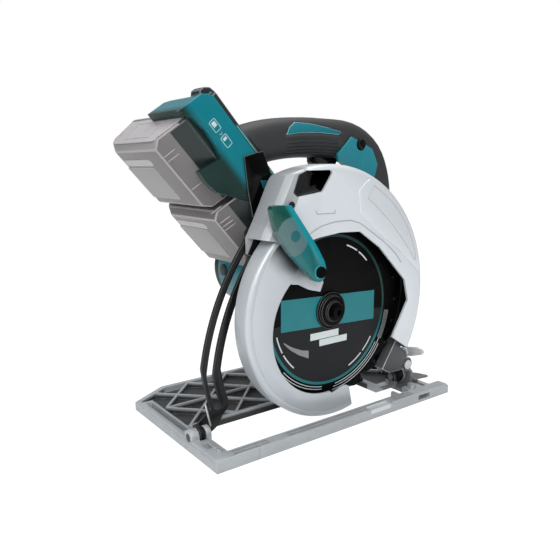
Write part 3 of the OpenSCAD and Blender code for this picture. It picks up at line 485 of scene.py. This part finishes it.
def raised_line(name, points, width, height, paint, body, place, closed=False, step=1.0,
                softness=2):
    """A half round bead of width and height, in mm, carried along a line on a face. Its section
    is (width / 2 * cos t, height * sin t), and its ends taper to nothing."""
    if closed:
        line = rounded_outline(points, step=step, softness=softness)
        across = outline_normals(line)
        taper = np.ones(len(line))
    else:
        knots = np.array(points, float)
        length = np.concatenate([[0], np.cumsum(np.linalg.norm(np.diff(knots, axis=0), axis=1))])
        count = max(int(length[-1] / step), 4)
        at = np.linspace(0, length[-1], count)
        line = np.stack([np.interp(at, length, knots[:, i]) for i in (0, 1)], axis=1)
        for _ in range(softness):
            line[1:-1] = (line[:-2] + 2 * line[1:-1] + line[2:]) / 4
        along = np.gradient(line, axis=0)
        across = np.stack([along[:, 1], -along[:, 0]], axis=1)
        across /= np.linalg.norm(across, axis=1)[:, None]
        ends = np.minimum(np.arange(count), np.arange(count)[::-1]) / 2
        taper = np.clip(ends, 0.05, 1)
    t = np.linspace(-0.15 * pi, 1.15 * pi, 9)
    wide = width / 2 * np.cos(t)
    high = height * np.sin(t)
    flat = line[:, None] + across[:, None] * (wide[None] * taper[:, None])[..., None]
    off = high[None] * taper[:, None] * mm
    verts = place(flat[..., 0], flat[..., 1], off).reshape(-1, 3)
    n, m = len(line), len(t)
    faces = grid_faces(n, m, round_rows=closed, round_cols=True)
    if not closed:
        faces += [tuple(range(m)), tuple(range((n - 1) * m, n * m))]
    return solid_of(name, verts, faces, paint, body)


arbor = 103                 # its height over the sole, in mm
rim_centre = (-10, 10)
on_case = facing(case_face)


def over_sole(points):
    """Points in mm from the arbor, lifted to their height over the sole."""
    return [(x, z + arbor) for x, z in points]


def rim_arc(radius, first, last):
    """Points of an arc round the case's centre, every 4 degrees from first up to last: each is
    the centre and radius * (cos a, sin a)."""
    turns = np.radians(np.arange(first, last, 4.0))
    return [(rim_centre[0] + radius * cos(a), rim_centre[1] + radius * sin(a)) for a in turns]


panel = [(19.5, 112), (21.6, 92.5), (27, 86), (39, 76), (71, 56), (90.5, 41), (103.5, 29.5)]
raised_panel("badge_panel", over_sole(panel + rim_arc(120.3, 9, 70)), 1.2, lacquer, "saw",
             on_case, ease=0.9)
badge = [(31, 104), (41, 97), (58, 84), (76, 67), (90, 52), (100, 39.5)]
raised_line("badge_edge", over_sole(badge + rim_arc(115.8, 18, 69)), 1.0, 1.6, step_shade_grey,
            "saw", on_case, closed=True)
opening_line = [(-44, 71), (-35, 77), (-24.5, 81.5), (-8.5, 84.6), (11, 84.8), (22.7, 81.6),
                (38, 72.4), (55, 62), (71, 50), (81, 39)]
raised_line("opening_bead", over_sole(opening_line), 1.2, 0.55, step_shade_grey, "saw", on_case,
            softness=4)
mark = [(-31.5, 96.4), (-29.2, 92.2), (-8.2, 92.2), (-8.9, 96.2)]
raised_line("case_mark", over_sole(mark), 0.9, 0.4, step_shade_grey, "saw", on_case, softness=0)

# ---- Case screw and chip chute ----
# A black cross screw sits in a dimple at the rear of the case. Behind the chip window the
# chute is a smooth grey scoop that curves towards the fan side.
screw_black = finish("screw_black", (0.003, 0.003, 0.003), 0.4, grain=2000, depth=0.1, shine=0.2)


def turned(name, profile, centre, paint, body, place, closed=False):
    """A body turned round the Y axis through centre: profile rows are radius and distance in
    front of a face, in mm. A closed profile makes a ring, and an open one a solid button."""
    rows = np.array(profile, float)
    turn = np.linspace(0, 2 * pi, 40, endpoint=False)
    u = centre[0] + rows[:, :1] * np.cos(turn)
    v = centre[1] + rows[:, :1] * np.sin(turn)
    off = np.broadcast_to(rows[:, 1:] * mm, u.shape)
    verts = place(u, v, off).reshape(-1, 3)
    n, m = len(turn), len(rows)
    faces = grid_faces(m, n, round_rows=closed, round_cols=True)
    if not closed:
        faces += [tuple(range(n)), tuple(range((m - 1) * n, m * n))]
    return solid_of(name, verts, faces, paint, body)


turned("case_screw", [(2.9, -0.5), (2.9, 0.25), (2.5, 0.6), (1.9, 0.6), (1.6, 0.1), (0.5, 0.1)],
       (-56.8, 101.1 + arbor), screw_black, "saw", on_case)
scoop_grey = finish("scoop_grey", (0.045, 0.046, 0.048), 0.45, metal=0.2, grain=1600, depth=0.2)
scoop_rim = np.array([(-34, 130.5), (-42, 130), (-47.5, 126), (-53.2, 113), (-51.5, 108.6),
                      (-46, 108.4), (-36, 110), (-25, 112.2)])
scoop_far_end = (-14.0, 122.0)
scoop_depth = 15 * mm
narrow_u, narrow_v, narrow_power = 0.75, 0.45, 1.6
rim_knots = np.arange(len(scoop_rim))
rim_at = np.linspace(0, rim_knots[-1], 36)
# From the rim inwards a point goes the shares narrow_u and narrow_v of its way to the far end,
# in step with inward ** narrow_power, and sinks evenly.
rim_u, rim_v = (np.interp(rim_at, rim_knots, scoop_rim[:, n]) for n in (0, 1))
inward = np.linspace(0, 1, 14)[:, None]
scoop_u = rim_u + (scoop_far_end[0] - rim_u) * narrow_u * inward ** narrow_power
scoop_v = rim_v + (scoop_far_end[1] - rim_v) * narrow_v * inward ** narrow_power
scoop_off = np.broadcast_to(-(case_wall + scoop_depth * inward), scoop_u.shape)
scoop_verts = on_case(scoop_u, scoop_v + arbor, scoop_off).reshape(-1, 3)
# Each face is numbered the other way round, so that its wall grows on the right side.
scoop_faces = [(a, d, c, b) for a, b, c, d in grid_faces(*scoop_u.shape)]
scoop = solid_of("chip_scoop", scoop_verts, scoop_faces, scoop_grey, "saw")
wall = scoop.modifiers.new("wall", "SOLIDIFY")
wall.thickness = 0.8 * mm

# ---- Hinge lip ----
# A dark lip on the case's far wall closes the corner between the blade and the front hinge.
# It is cast with the wall and black like the rest of the case's inside.
lip_level = 11 * mm
lip_black = finish("lip_black", (0.004, 0.0042, 0.0045), 0.5, grain=1500, depth=0.15, shine=0.1)
lip_outline = [(93, 51), (88, 58), (79, 52), (69, 43.5), (66, 31), (74.5, 24.8), (82.3, 26),
               (82.6, 38.8), (92, 40)]
raised_panel("hinge_lip", lip_outline, 0.3, lip_black, "saw", facing(lip_level), ease=0.25,
             softness=1, sunk=1.0)

# ---- Guide rod ----
# A thin zinc plated rod lies along the foot of the depth guide, riveted to its near face
# where the plate comes down to the rear hinge.
guide_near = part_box("depth_guide")[0][1]
raised_line("guide_rod", [(-133.8, 42.5), (-128.6, 19.5)], 1.5, 0.9, zinc, "tilt_frame",
            facing(guide_near))

# ---- Lower guard and its lever ----
# The swinging guard is pressed aluminium, in the same silver lacquer outside, black inside.
# Its lever is a see-through moulding in sea green, held by one screw down a round hole.
guard_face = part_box("lower_guard")[0][1]
guard_wall = 2 * mm
guard_lacquer = finish("guard_lacquer", (0.47, 0.50, 0.525), 0.4, metal=0.3, grain=2600,
                       depth=0.08, mottle=0.04, coat=0.15)
guard_room = -guard_face - guard_wall + 0.05 * mm
guard_black = (0.008, 0.008, 0.009)
lever_shade = (0.05, 0.048, 0.048)
recess_shade = (0.035, 0.038, 0.04)
guard_inner_radius = 98.4 * mm
recess_radius = 95 * mm
near_wall = (nearer, 9.5 * mm, 10 * mm)
# In turn: the blackened inside, the shade beside the lever, and the shade in the recess.
painted_where(guard_lacquer, guard_black, [
    (away, -guard_room - 0.05 * mm, -guard_room),
    (nearer, -guard_room - 0.05 * mm, -guard_room)], (0, arbor * mm, guard_inner_radius))
painted_where(guard_lacquer, lever_shade, [
    ((0.816, 0, -0.578), -150 * mm, -123.5 * mm), ((-0.816, 0, 0.578), 123.6 * mm, 123.8 * mm),
    ((0.25, 0, 0.968), 123.5 * mm, 136.5 * mm), near_wall])
painted_where(guard_lacquer, recess_shade, [
    ((0.618, 0, 0.787), 69 * mm, 94 * mm), (backward, 30 * mm, 55 * mm), near_wall],
    (0, arbor * mm, recess_radius))
eased("lower_guard", 0.7, guard_lacquer, steps=3)
tinted = finish("tinted_moulding", (0.0, 0.115, 0.12), 0.2, grain=1200, depth=0.05, mottle=0.2,
                patch=70, coat=0.2, opacity=0.9)
up_lever = (-0.59, 0, 0.807)
across_lever = (0.807, 0, 0.59)
# In turn: the darker upper end, the pale disc, the teal dot in it, and the brighter front edge, a
# painted highlight.
painted_where(tinted, (0.0, 0.06, 0.045), [(up_lever, 191 * mm, 199 * mm)])
painted_where(tinted, (0.075, 0.145, 0.15), [(up, 0, mm)], (-62.5 * mm, 178.6 * mm, 16.5 * mm))
painted_where(tinted, (0.0, 0.10, 0.115), [(up, 0, mm)], (-60 * mm, 179 * mm, 4.8 * mm))
painted_where(tinted, (0.0, 0.22, 0.26), [(across_lever, 61.5 * mm, 66.5 * mm)])
# The brighter teal of the lever's rounded edges and of the ring round its hole is a painted
# highlight.
tinted_edge = finish("tinted_moulding_edge", (0.0, 0.24, 0.28), 0.2, grain=1200, depth=0.05,
                     mottle=0.1, coat=0.3, opacity=0.93)
eased("guard_lever", 1.6, tinted, tinted_edge, steps=3)
lever_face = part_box("guard_lever")[0][1]
turned("lever_eye", [(6.7, -0.2), (6.6, 0.3), (6.2, 0.5), (5.1, 0.5), (4.7, 0.3), (4.6, -0.2)],
       (-32.5, 43 + arbor), tinted_edge, "lower_guard", facing(lever_face), closed=True)
# The lever screw is pitch black, painted shade at the bottom of its hole.
hole_shade_black = finish("hole_shade_black", (0.001, 0.001, 0.001), 0.6, grain=1200, depth=0.05, shine=0.05)
dress("lever_screw", hole_shade_black)
dress("guard_spring", zinc)

# ---- Gear housing and motor ----
# The gear housing is dark and screwed to the case. The motor housing is a moulding in teal
# nylon, closed by a dark rear cap and by two caps over the brushes.
teal = (0.004, 0.135, 0.17)
# The paler teal on the rounded edges of the motor housing and the handle panel is a painted
# highlight.
teal_highlight = (0.03, 0.27, 0.29)
teal_nylon = finish("teal_nylon", teal, 0.36, grain=1600, depth=0.14, mottle=0.08, shine=0.3)
teal_edge = finish("teal_nylon_edge", teal_highlight, 0.34, grain=1600, depth=0.12, mottle=0.08)
dark_nylon = finish("dark_nylon", (0.013, 0.0135, 0.014), 0.42, grain=1500, depth=0.2,
                    mottle=0.12)
eased("gear_housing", 1.0, dark_nylon)
eased("motor_housing", 1.0, teal_nylon, teal_edge)
eased("motor_end_cap", 0.8, dark_nylon)
eased("brush_caps", 0.4, dark_nylon)

# ---- Handle ----
# Two halves of glass filled nylon, screwed together, under a skin of soft black rubber with
# ribs moulded along the grip. The teal inserts are let into the blade side half.
rubber = finish("soft_rubber", (0.021, 0.022, 0.023), 0.55, grain=1300, depth=0.45, mottle=0.15)
eased("handle_right", 0.5, rubber, angle=40)
eased("handle_left", 0.5, rubber, angle=40)
panel_teal = finish("panel_teal", (0.014, 0.18, 0.225), 0.36, grain=1600, depth=0.14, mottle=0.08,
                    shine=0.3)
eased("handle_panel", 0.6, panel_teal, teal_edge)
# The pale edges of the inlay are a painted highlight.
inlay_edge = finish("inlay_edge", (0.30, 0.50, 0.52), 0.34, grain=1600, depth=0.12, mottle=0.08)
eased("handle_inlay", 0.7, teal_nylon, inlay_edge, angle=40)
grip_path = np.array([(-100, 135), (-78, 145), (-50, 154.5), (-15, 159), (20, 159.3), (53, 156.5),
                      (76.5, 143.5), (89.5, 122)], float)
grip_half = np.array([20, 19.5, 18.8, 18.5, 18.8, 19.5, 19.8, 19.3])
grip_side = np.array([17, 17.5, 18, 18, 18, 18, 18, 17.5])
grip_middle = 42


def through(knots, at):
    """A smooth line through evenly counted knots, read at the counts given: between knots 1 and
    2 the cubic has the slopes (knot 2 - knot 0) / 2 and (knot 3 - knot 1) / 2 at its ends."""
    whole = np.clip(np.floor(at).astype(int), 0, len(knots) - 2)
    t = (at - whole).reshape(at.shape + (1,) * (knots.ndim - 1))
    k0, k1, k2, k3 = (knots[np.clip(whole + n, 0, len(knots) - 1)] for n in (-1, 0, 1, 2))
    return 0.5 * (2 * k1 + (k2 - k0) * t + (2 * k0 - 5 * k1 + 4 * k2 - k3) * t ** 2
                  + (3 * k1 - k0 - 3 * k2 + k3) * t ** 3)


def grip_ribs(name, start, end, low, high, count, proud, paint):
    """Lengthwise ribs on the grip's blade side. The skin point at count s along the path and
    angle a round it has v = sign(sin a) |sin a|^0.8 * half up from the path's middle line and
    u = |cos a|^0.75 * side out from the middle plane. It is lifted along the skin's normal by
    proud * (0.5 - 0.8 cos(2 pi count (a - low) / (high - low))). Over the last fade_run of
    either end the lift turns into sunk_end below the skin."""
    fade_run, sunk_end = 0.12, 0.25
    s, a = np.meshgrid(np.linspace(start, end, 60), np.linspace(low, high, count * 10 + 1),
                       indexing="ij")
    middle = through(grip_path, s)
    ahead = through(grip_path, s + 0.01) - through(grip_path, s - 0.01)
    ahead /= np.linalg.norm(ahead, axis=-1)[..., None]
    turn = np.radians(a)
    v = np.sign(np.sin(turn)) * abs(np.sin(turn)) ** 0.8 * through(grip_half, s)
    u = abs(np.cos(turn)) ** 0.75 * through(grip_side, s)
    skin = np.stack([middle[..., 0] - ahead[..., 1] * v, grip_middle - u,
                     arbor + middle[..., 1] + ahead[..., 0] * v], axis=-1)
    normal = np.cross(np.gradient(skin, axis=0), np.gradient(skin, axis=1))
    normal /= np.linalg.norm(normal, axis=-1)[..., None]
    normal *= np.sign(-normal[..., 1:2])
    fade = np.clip(np.minimum(s - start, end - s) / fade_run, 0, 1)
    wave = np.cos(2 * pi * count * (a - low) / (high - low))
    lift = (proud * (0.5 - 0.8 * wave)) * fade - sunk_end * (1 - fade)
    verts = (skin + normal * lift[..., None]) * mm
    return solid_of(name, verts.reshape(-1, 3), grid_faces(*s.shape), paint, "saw")


grip_ribs("grip_ribs", 2.45, 4.38, low=-52, high=6, count=6, proud=0.9, paint=rubber)
gloss_black = finish("gloss_black", (0.002, 0.002, 0.0022), 0.15, grain=1200, depth=0.05,
                     mottle=0.2, shine=0.25)
eased("trigger", 1.0, gloss_black)
eased("lock_off_button", 0.6, gloss_black)

# ---- Battery dock ----
# The teal dock that both packs slide on, its black top trim and the glossy cover by the case.
# Towards the bottom, below the pictured batteries, the teal darkens to a dark green, painted
# shade.
dock_origin = np.array([-154.5, 253.0])
along_dock = np.array([0.669, -0.743])
across_dock = np.array([0.743, 0.669])
dock_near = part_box("battery_housing")[0][1]
dock_level = dock_origin @ across_dock * mm
rear_end = dock_origin @ along_dock * mm
along_packs = (along_dock[0], 0, along_dock[1])
over_packs = (across_dock[0], 0, across_dock[1])
under_packs = (-across_dock[0], 0, -across_dock[1])
# Painted shade: the dock's teal and its paler edges darken towards the bottom.
low_dock_shade = [(under_packs, -dock_level - 40 * mm, -dock_level - 30 * mm)]

dock_paint = finish("dock_teal", (0.0, 0.145, 0.18), 0.34, grain=1600, depth=0.14, mottle=0.08,
                    shine=0.3)
painted_where(dock_paint, (0.004, 0.022, 0.019), low_dock_shade)
# The paler teal of the dock's rounded edges is a painted highlight.
dock_edge = finish("dock_teal_edge", (0.03, 0.30, 0.33), 0.34, grain=1600, depth=0.12,
                   mottle=0.08)
painted_where(dock_edge, (0.01, 0.05, 0.045), low_dock_shade)
eased("battery_housing", 1.6, dock_paint, dock_edge, steps=3)
# The paler edges of the black trim are a painted highlight.
trim_edge = finish("trim_edge", (0.10, 0.13, 0.135), 0.4, grain=1500, depth=0.15, mottle=0.12)
eased("dock_trim", 1.6, dark_nylon, trim_edge, steps=3)
cover_black = finish("cover_black", (0.0015, 0.0015, 0.0016), 0.12, grain=1200, depth=0.04,
                     mottle=0.2, shine=0.12)
# The paler edges of the glossy cover are a painted highlight.
cover_edge = finish("cover_edge", (0.06, 0.062, 0.065), 0.3, grain=1200, depth=0.05, mottle=0.1)
eased("rear_cover", 0.5, cover_black, cover_edge)
window_teal = finish("window_teal", (0.002, 0.06, 0.075), 0.36, grain=1600, depth=0.14,
                     mottle=0.08)
cover_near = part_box("rear_cover")[0][1]
raised_panel("cover_window", [(-64.2, 224), (-52.6, 224), (-52.6, 212), (-59, 212)], 0.3,
             window_teal, "saw", facing(cover_near), ease=0.25, softness=0)
brass = finish("brass", (0.8, 0.5, 0.16), 0.3, metal=1.0, mottle=0.1)
dress("dock_terminals", brass)
board = finish("circuit_board", (0.01, 0.12, 0.04), 0.4, mottle=0.3)
dress("controller", board)


def dock_point(u, y, v):
    """A point of the leaning dock, in mm: u down along the packs from the upper pack's end
    face, v over their rear lower face, and y across the saw."""
    x = dock_origin[0] + u * along_dock[0] + v * across_dock[0]
    z = dock_origin[1] + u * along_dock[1] + v * across_dock[1]
    return np.stack(np.broadcast_arrays(x, y, z), axis=-1) * mm


def dock_side(u, v, off):
    """Carries dock points on to a plane off metres to the blade side of the dock's near face."""
    return dock_point(u, (dock_near - off) / mm, v)


def trim_side(u, v, off):
    """The same on the near face of the black trim, which lies 4 mm farther in."""
    return dock_side(u, v, off - 4 * mm)


stripe = finish("pale_teal_stripe", (0.10, 0.33, 0.34), 0.4, grain=1400, depth=0.1, mottle=0.1)
raised_line("dock_stripe", [(34, 63.3), (62, 63.6), (93, 64)], 1.6, 0.8, stripe, "saw", trim_side)
pictogram_white = finish("pictogram_white", (0.45, 0.55, 0.56), 0.5, grain=1200, depth=0.05)
picture_height = 0.12
for number, low in enumerate((15, 31)):
    frame_line = [(low, 42), (low + 10, 42), (low + 10, 48.5), (low, 48.5)]
    raised_line(f"battery_picture_{number}", frame_line, 0.5, picture_height, pictogram_white,
                "saw", dock_side, closed=True, softness=1)
    empty, full = low + 1.6, low + 6 - 2 * number
    bar = [(empty, 43.4), (full, 43.4), (full, 47.1), (empty, 47.1)]
    raised_panel(f"battery_fill_{number}", bar, picture_height, pictogram_white, "saw",
                 dock_side, ease=0.05, softness=0)
raised_line("picture_arrow", [(27.2, 43), (29.2, 45.2), (27.2, 47.4)], 0.6, picture_height,
            pictogram_white, "saw", dock_side, softness=0)

# ---- Battery packs ----
# Two slide-on packs in smoky clear plastic, with bare stick-on labels under them, a raised
# pad at the rear and grip ribs down the slanted blade side.
smoke = finish("smoky_plastic", (0.135, 0.125, 0.127), 0.3, grain=900, depth=0.12, mottle=0.12,
               opacity=0.94)
# The paler smoke of the packs' rounded edges, ribs and pad rim is a painted highlight.
smoke_edge = finish("smoky_edge", (0.33, 0.31, 0.315), 0.25, grain=900, depth=0.1, mottle=0.1,
                    opacity=0.92)
corner = -(along_dock + across_dock) / np.sqrt(2)
corner_level = dock_origin @ corner * mm
# In turn: the dark foot of the packs inside the dock, the same on their edges, and the pale
# rounded corner along the upper pack's end, a painted highlight.
painted_where(smoke, (0.005, 0.012, 0.011), [
    (over_packs, dock_level + 15.6 * mm, dock_level + 16.6 * mm),
    (along_packs, rear_end + 1.5 * mm, rear_end + 2.5 * mm), (nearer, -39 * mm, -38 * mm)])
painted_where(smoke_edge, (0.02, 0.035, 0.033), [
    (over_packs, dock_level + 24 * mm, dock_level + 26 * mm), (nearer, -45 * mm, -44 * mm)])
painted_where(smoke, (0.27, 0.26, 0.262), [
    ((corner[0], 0, corner[1]), corner_level - 5.4 * mm, corner_level - 4.6 * mm)])
for node in ("upper_battery", "lower_battery"):
    eased(node, 1.4, smoke, smoke_edge, steps=2)
for node in ("upper_release", "lower_release"):
    eased(node, 0.8, dark_nylon)


def pack_under(u, y, off):
    """Carries points on to the packs' rear lower face: u along the packs, y across the saw."""
    return dock_point(u, y, -off / mm)


def pack_end(y, v, off):
    """Carries points on to the upper pack's end face: y across the saw, v over the pack."""
    return dock_point(-off / mm, y, v)


slope_top = (28, 31)
slope_out, slope_fall, slope_length = 16, 31, 34.9


def pack_slope(u, s, off):
    """Carries points on to the packs' slanted face, which leans out by slope_out and falls by
    slope_fall over slope_length: u along the packs, s down the slope from its top."""
    y = slope_top[0] + s * slope_out / slope_length - off / mm * slope_fall / slope_length
    v = slope_top[1] - s * slope_fall / slope_length - off / mm * slope_out / slope_length
    return dock_point(u, y, v)


pale_smoke = finish("pale_smoke", (0.42, 0.40, 0.41), 0.3, grain=700, depth=0.3, mottle=0.2,
                    patch=260, opacity=0.9)
label_grey = finish("label_grey", (0.24, 0.235, 0.235), 0.35, grain=1400, depth=0.05, mottle=0.08)
# Each row: the pack, where it starts along the dock, its body and the places of its ribs.
packs = (("upper", 0.0, "upper_pack", (15, 20, 51)),
         ("lower", 77.0, "lower_pack", (2, 14.5, 19, 23)))
for which, start, body, ribs in packs:
    bar = [(start + 15.7, 70), (start + 22.8, 70), (start + 22.8, 126), (start + 15.7, 126)]
    raised_panel(which + "_label_bar", bar, 0.25, pale_smoke, body, pack_under, ease=0.1)
    sheet = [(start + 25, 75), (start + 62, 75), (start + 62, 130), (start + 25, 130)]
    raised_panel(which + "_label", sheet, 0.2, label_grey, body, pack_under, ease=0.1)
    raised_line(which + "_label_frame", sheet, 0.8, 0.35, pale_smoke, body, pack_under,
                closed=True)
    for number, at in enumerate(ribs):
        raised_line(f"{which}_rib_{number}", [(start + at, 21), (start + at, 34)], 1.2, 0.6,
                    smoke_edge, body, pack_slope)
# The pad is pale smoke, a painted reflection of the light on the upper pack's end.
pad = [(47, 4), (129, 4), (137.5, 12.5), (137.5, 35), (33, 35), (33, 28)]
raised_panel("pack_pad", pad, 0.5, pale_smoke, "upper_pack", pack_end, ease=0.4)
raised_line("pack_pad_edge", [(60, 9), (112, 9), (112, 29), (60, 29)], 0.7, 0.8, smoke_edge,
            "upper_pack", pack_end, closed=True)

# ---- Blade and its clamp ----
# A thin steel blade with a black coat and printed rings and bands, all its marks left plain.
# It is clamped between two flanges by a socket bolt.
steel = finish("bright_steel", (0.60, 0.60, 0.60), 0.25, metal=1.0, grain=2000, depth=0.1)
dark_steel = finish("dark_steel", (0.002, 0.002, 0.0022), 0.5, grain=2000, depth=0.15, shine=0.06)
tooth_steel = finish("tooth_steel", (0.07, 0.07, 0.072), 0.4, metal=0.5, grain=2000, depth=0.15)
eased("blade", 0.1, dark_steel, tooth_steel)
eased("outer_flange", 0.5, dark_steel, tooth_steel)
eased("blade_bolt", 0.4, dark_steel)
blade_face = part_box("blade")[0][1]


def print_on_blade(name, patches, paint, off=0.03):
    """Flat prints on the blade. Each patch is a grid of points (x, z above the arbor) in mm,
    laid off mm in front of the blade's face; all of them make one mesh."""
    verts, faces = [], []
    for patch in patches:
        start = sum(len(rows) for rows in verts)
        x, z = patch.reshape(-1, 2).T
        verts.append(np.stack([x * mm, 0 * x + blade_face - off * mm, (z + arbor) * mm], axis=-1))
        faces += [[start + n for n in face] for face in grid_faces(*patch.shape[:2])]
    return solid_of(name, np.concatenate(verts), faces, paint, "spindle")


def arc_patch(inner, outer, start, end, across=2):
    """Part of a ring: a point of the grid is (r cos a, r sin a), with r running from inner to
    outer and a from start to end degrees in steps of about 3."""
    a = np.radians(np.linspace(start, end, max(int(abs(end - start) / 3), 2) + 1))
    r = np.linspace(inner, outer, across)
    return np.stack([r[:, None] * np.cos(a), r[:, None] * np.sin(a)], axis=-1)


def band_patch(half_width, half_height, slope=-0.04, level=-0.1):
    """A band across the blade: x runs from -half_width to half_width, and its middle line is
    z = slope * x + level."""
    x = np.linspace(-half_width, half_width, 30)
    t = np.linspace(-half_height, half_height, 4)[:, None]
    return np.stack([x + 0 * t, slope * x + level + t], axis=-1)


ring_teal = finish("print_teal", (0.005, 0.16, 0.18), 0.4, grain=1500, depth=0.05, mottle=0.15)
print_white = finish("print_white", (0.55, 0.6, 0.6), 0.45, grain=1500, depth=0.05, mottle=0.08)
print_grey = finish("print_grey", (0.009, 0.0095, 0.0105), 0.5, grain=1500, depth=0.1,
                    mottle=0.15, shine=0.2)
# Grey for the small printed rows and for the crescent, which is a painted highlight.
grey_print_and_highlight = finish("grey_print_and_highlight", (0.2, 0.21, 0.21), 0.45, grain=1500, depth=0.1)
print_on_blade("blade_lower_print", [arc_patch(16, 69.3, 186, 354, across=12)], print_grey, 0.015)
deep_teal = finish("print_deep_teal", (0.0, 0.13, 0.145), 0.4, grain=1500, depth=0.05,
                   mottle=0.15)
# Painted shade: the ring darkens to a deep green towards the upper right.
painted_where(deep_teal, (0.0, 0.03, 0.025), [((0.707, 0, 0.707), 95 * mm, 118 * mm)])
print_on_blade("blade_ring", [arc_patch(69.3, 72, 0, 360)], deep_teal)
print_on_blade("blade_band", [band_patch(58, 14.6)], ring_teal)
# Dashes, lines and rows: radius in mm, then the degrees between which they run.
dashes = [(64, 194, 209), (64, 211.5, 228), (64, 293, 310), (64, 312.5, 327.5), (62.6, 43, 56),
          (62.6, 58.5, 72)]
print_on_blade("blade_dashes", [arc_patch(r, r + 1.3, a, b) for r, a, b in dashes], print_white)
lines = [(74.2, -34, -84), (76.8, -30, -86), (79.6, -34, -87), (73.9, -97, -138),
         (76.4, -97, -138)]
print_on_blade("blade_lines", [arc_patch(r, r + 0.7, b, a) for r, a, b in lines], print_white)
small_rows = [(r, -8, -30) for r in (74.2, 75.8, 77.4, 79)]
print_on_blade("blade_small_rows", [arc_patch(r, r + 0.9, b, a) for r, a, b in small_rows],
               grey_print_and_highlight)
# Plates: rear, front, lower and upper edge in mm from the arbor.
plates = [(-24, 11, -26, -19.4), (-13, 22, -33, -26.6)]
print_on_blade("blade_plates", [np.stack(np.meshgrid([rear, front], [low, high]), -1)
                                for rear, front, low, high in plates], print_white)
# The grey crescent low at the rear of the blade is a painted highlight.
low_edge = np.array([(-55, -23), (-50, -28), (-46, -31.3), (-37.4, -36.9), (-25.9, -42.3)])
high_edge = np.array([(-54.4, -22.2), (-48, -26.5), (-44, -28.7), (-33.7, -33.1), (-26, -34.8)])
crescent = low_edge + (high_edge - low_edge) * np.linspace(0, 1, 4)[:, None, None]
print_on_blade("blade_crescent_highlight", [crescent], grey_print_and_highlight)

# ---- Inner works ----
# Shafts, gears and bearings of bright steel, laminated iron cores, a copper commutator, a
# fan, the switch and the spindle's lock. All but the lock only show when the saw is opened.
iron = finish("laminated_iron", (0.16, 0.16, 0.17), 0.45, metal=0.8, mottle=0.15)
copper = finish("copper", (0.72, 0.28, 0.13), 0.35, metal=0.9, mottle=0.12)
for node in ("spindle", "drive_gear", "inner_flange", "armature_shaft", "spindle_bearing",
             "needle_bearing", "front_motor_bearing", "rear_motor_bearing", "bearing_retainer"):
    dress(node, steel)
dress("stator", iron)
dress("armature_core", iron)
dress("commutator", copper)
dress("brush_holders", brass)
dress("cooling_fan", dark_nylon)
dress("shaft_lock", gloss_black)
dress("switch_body", dark_nylon)
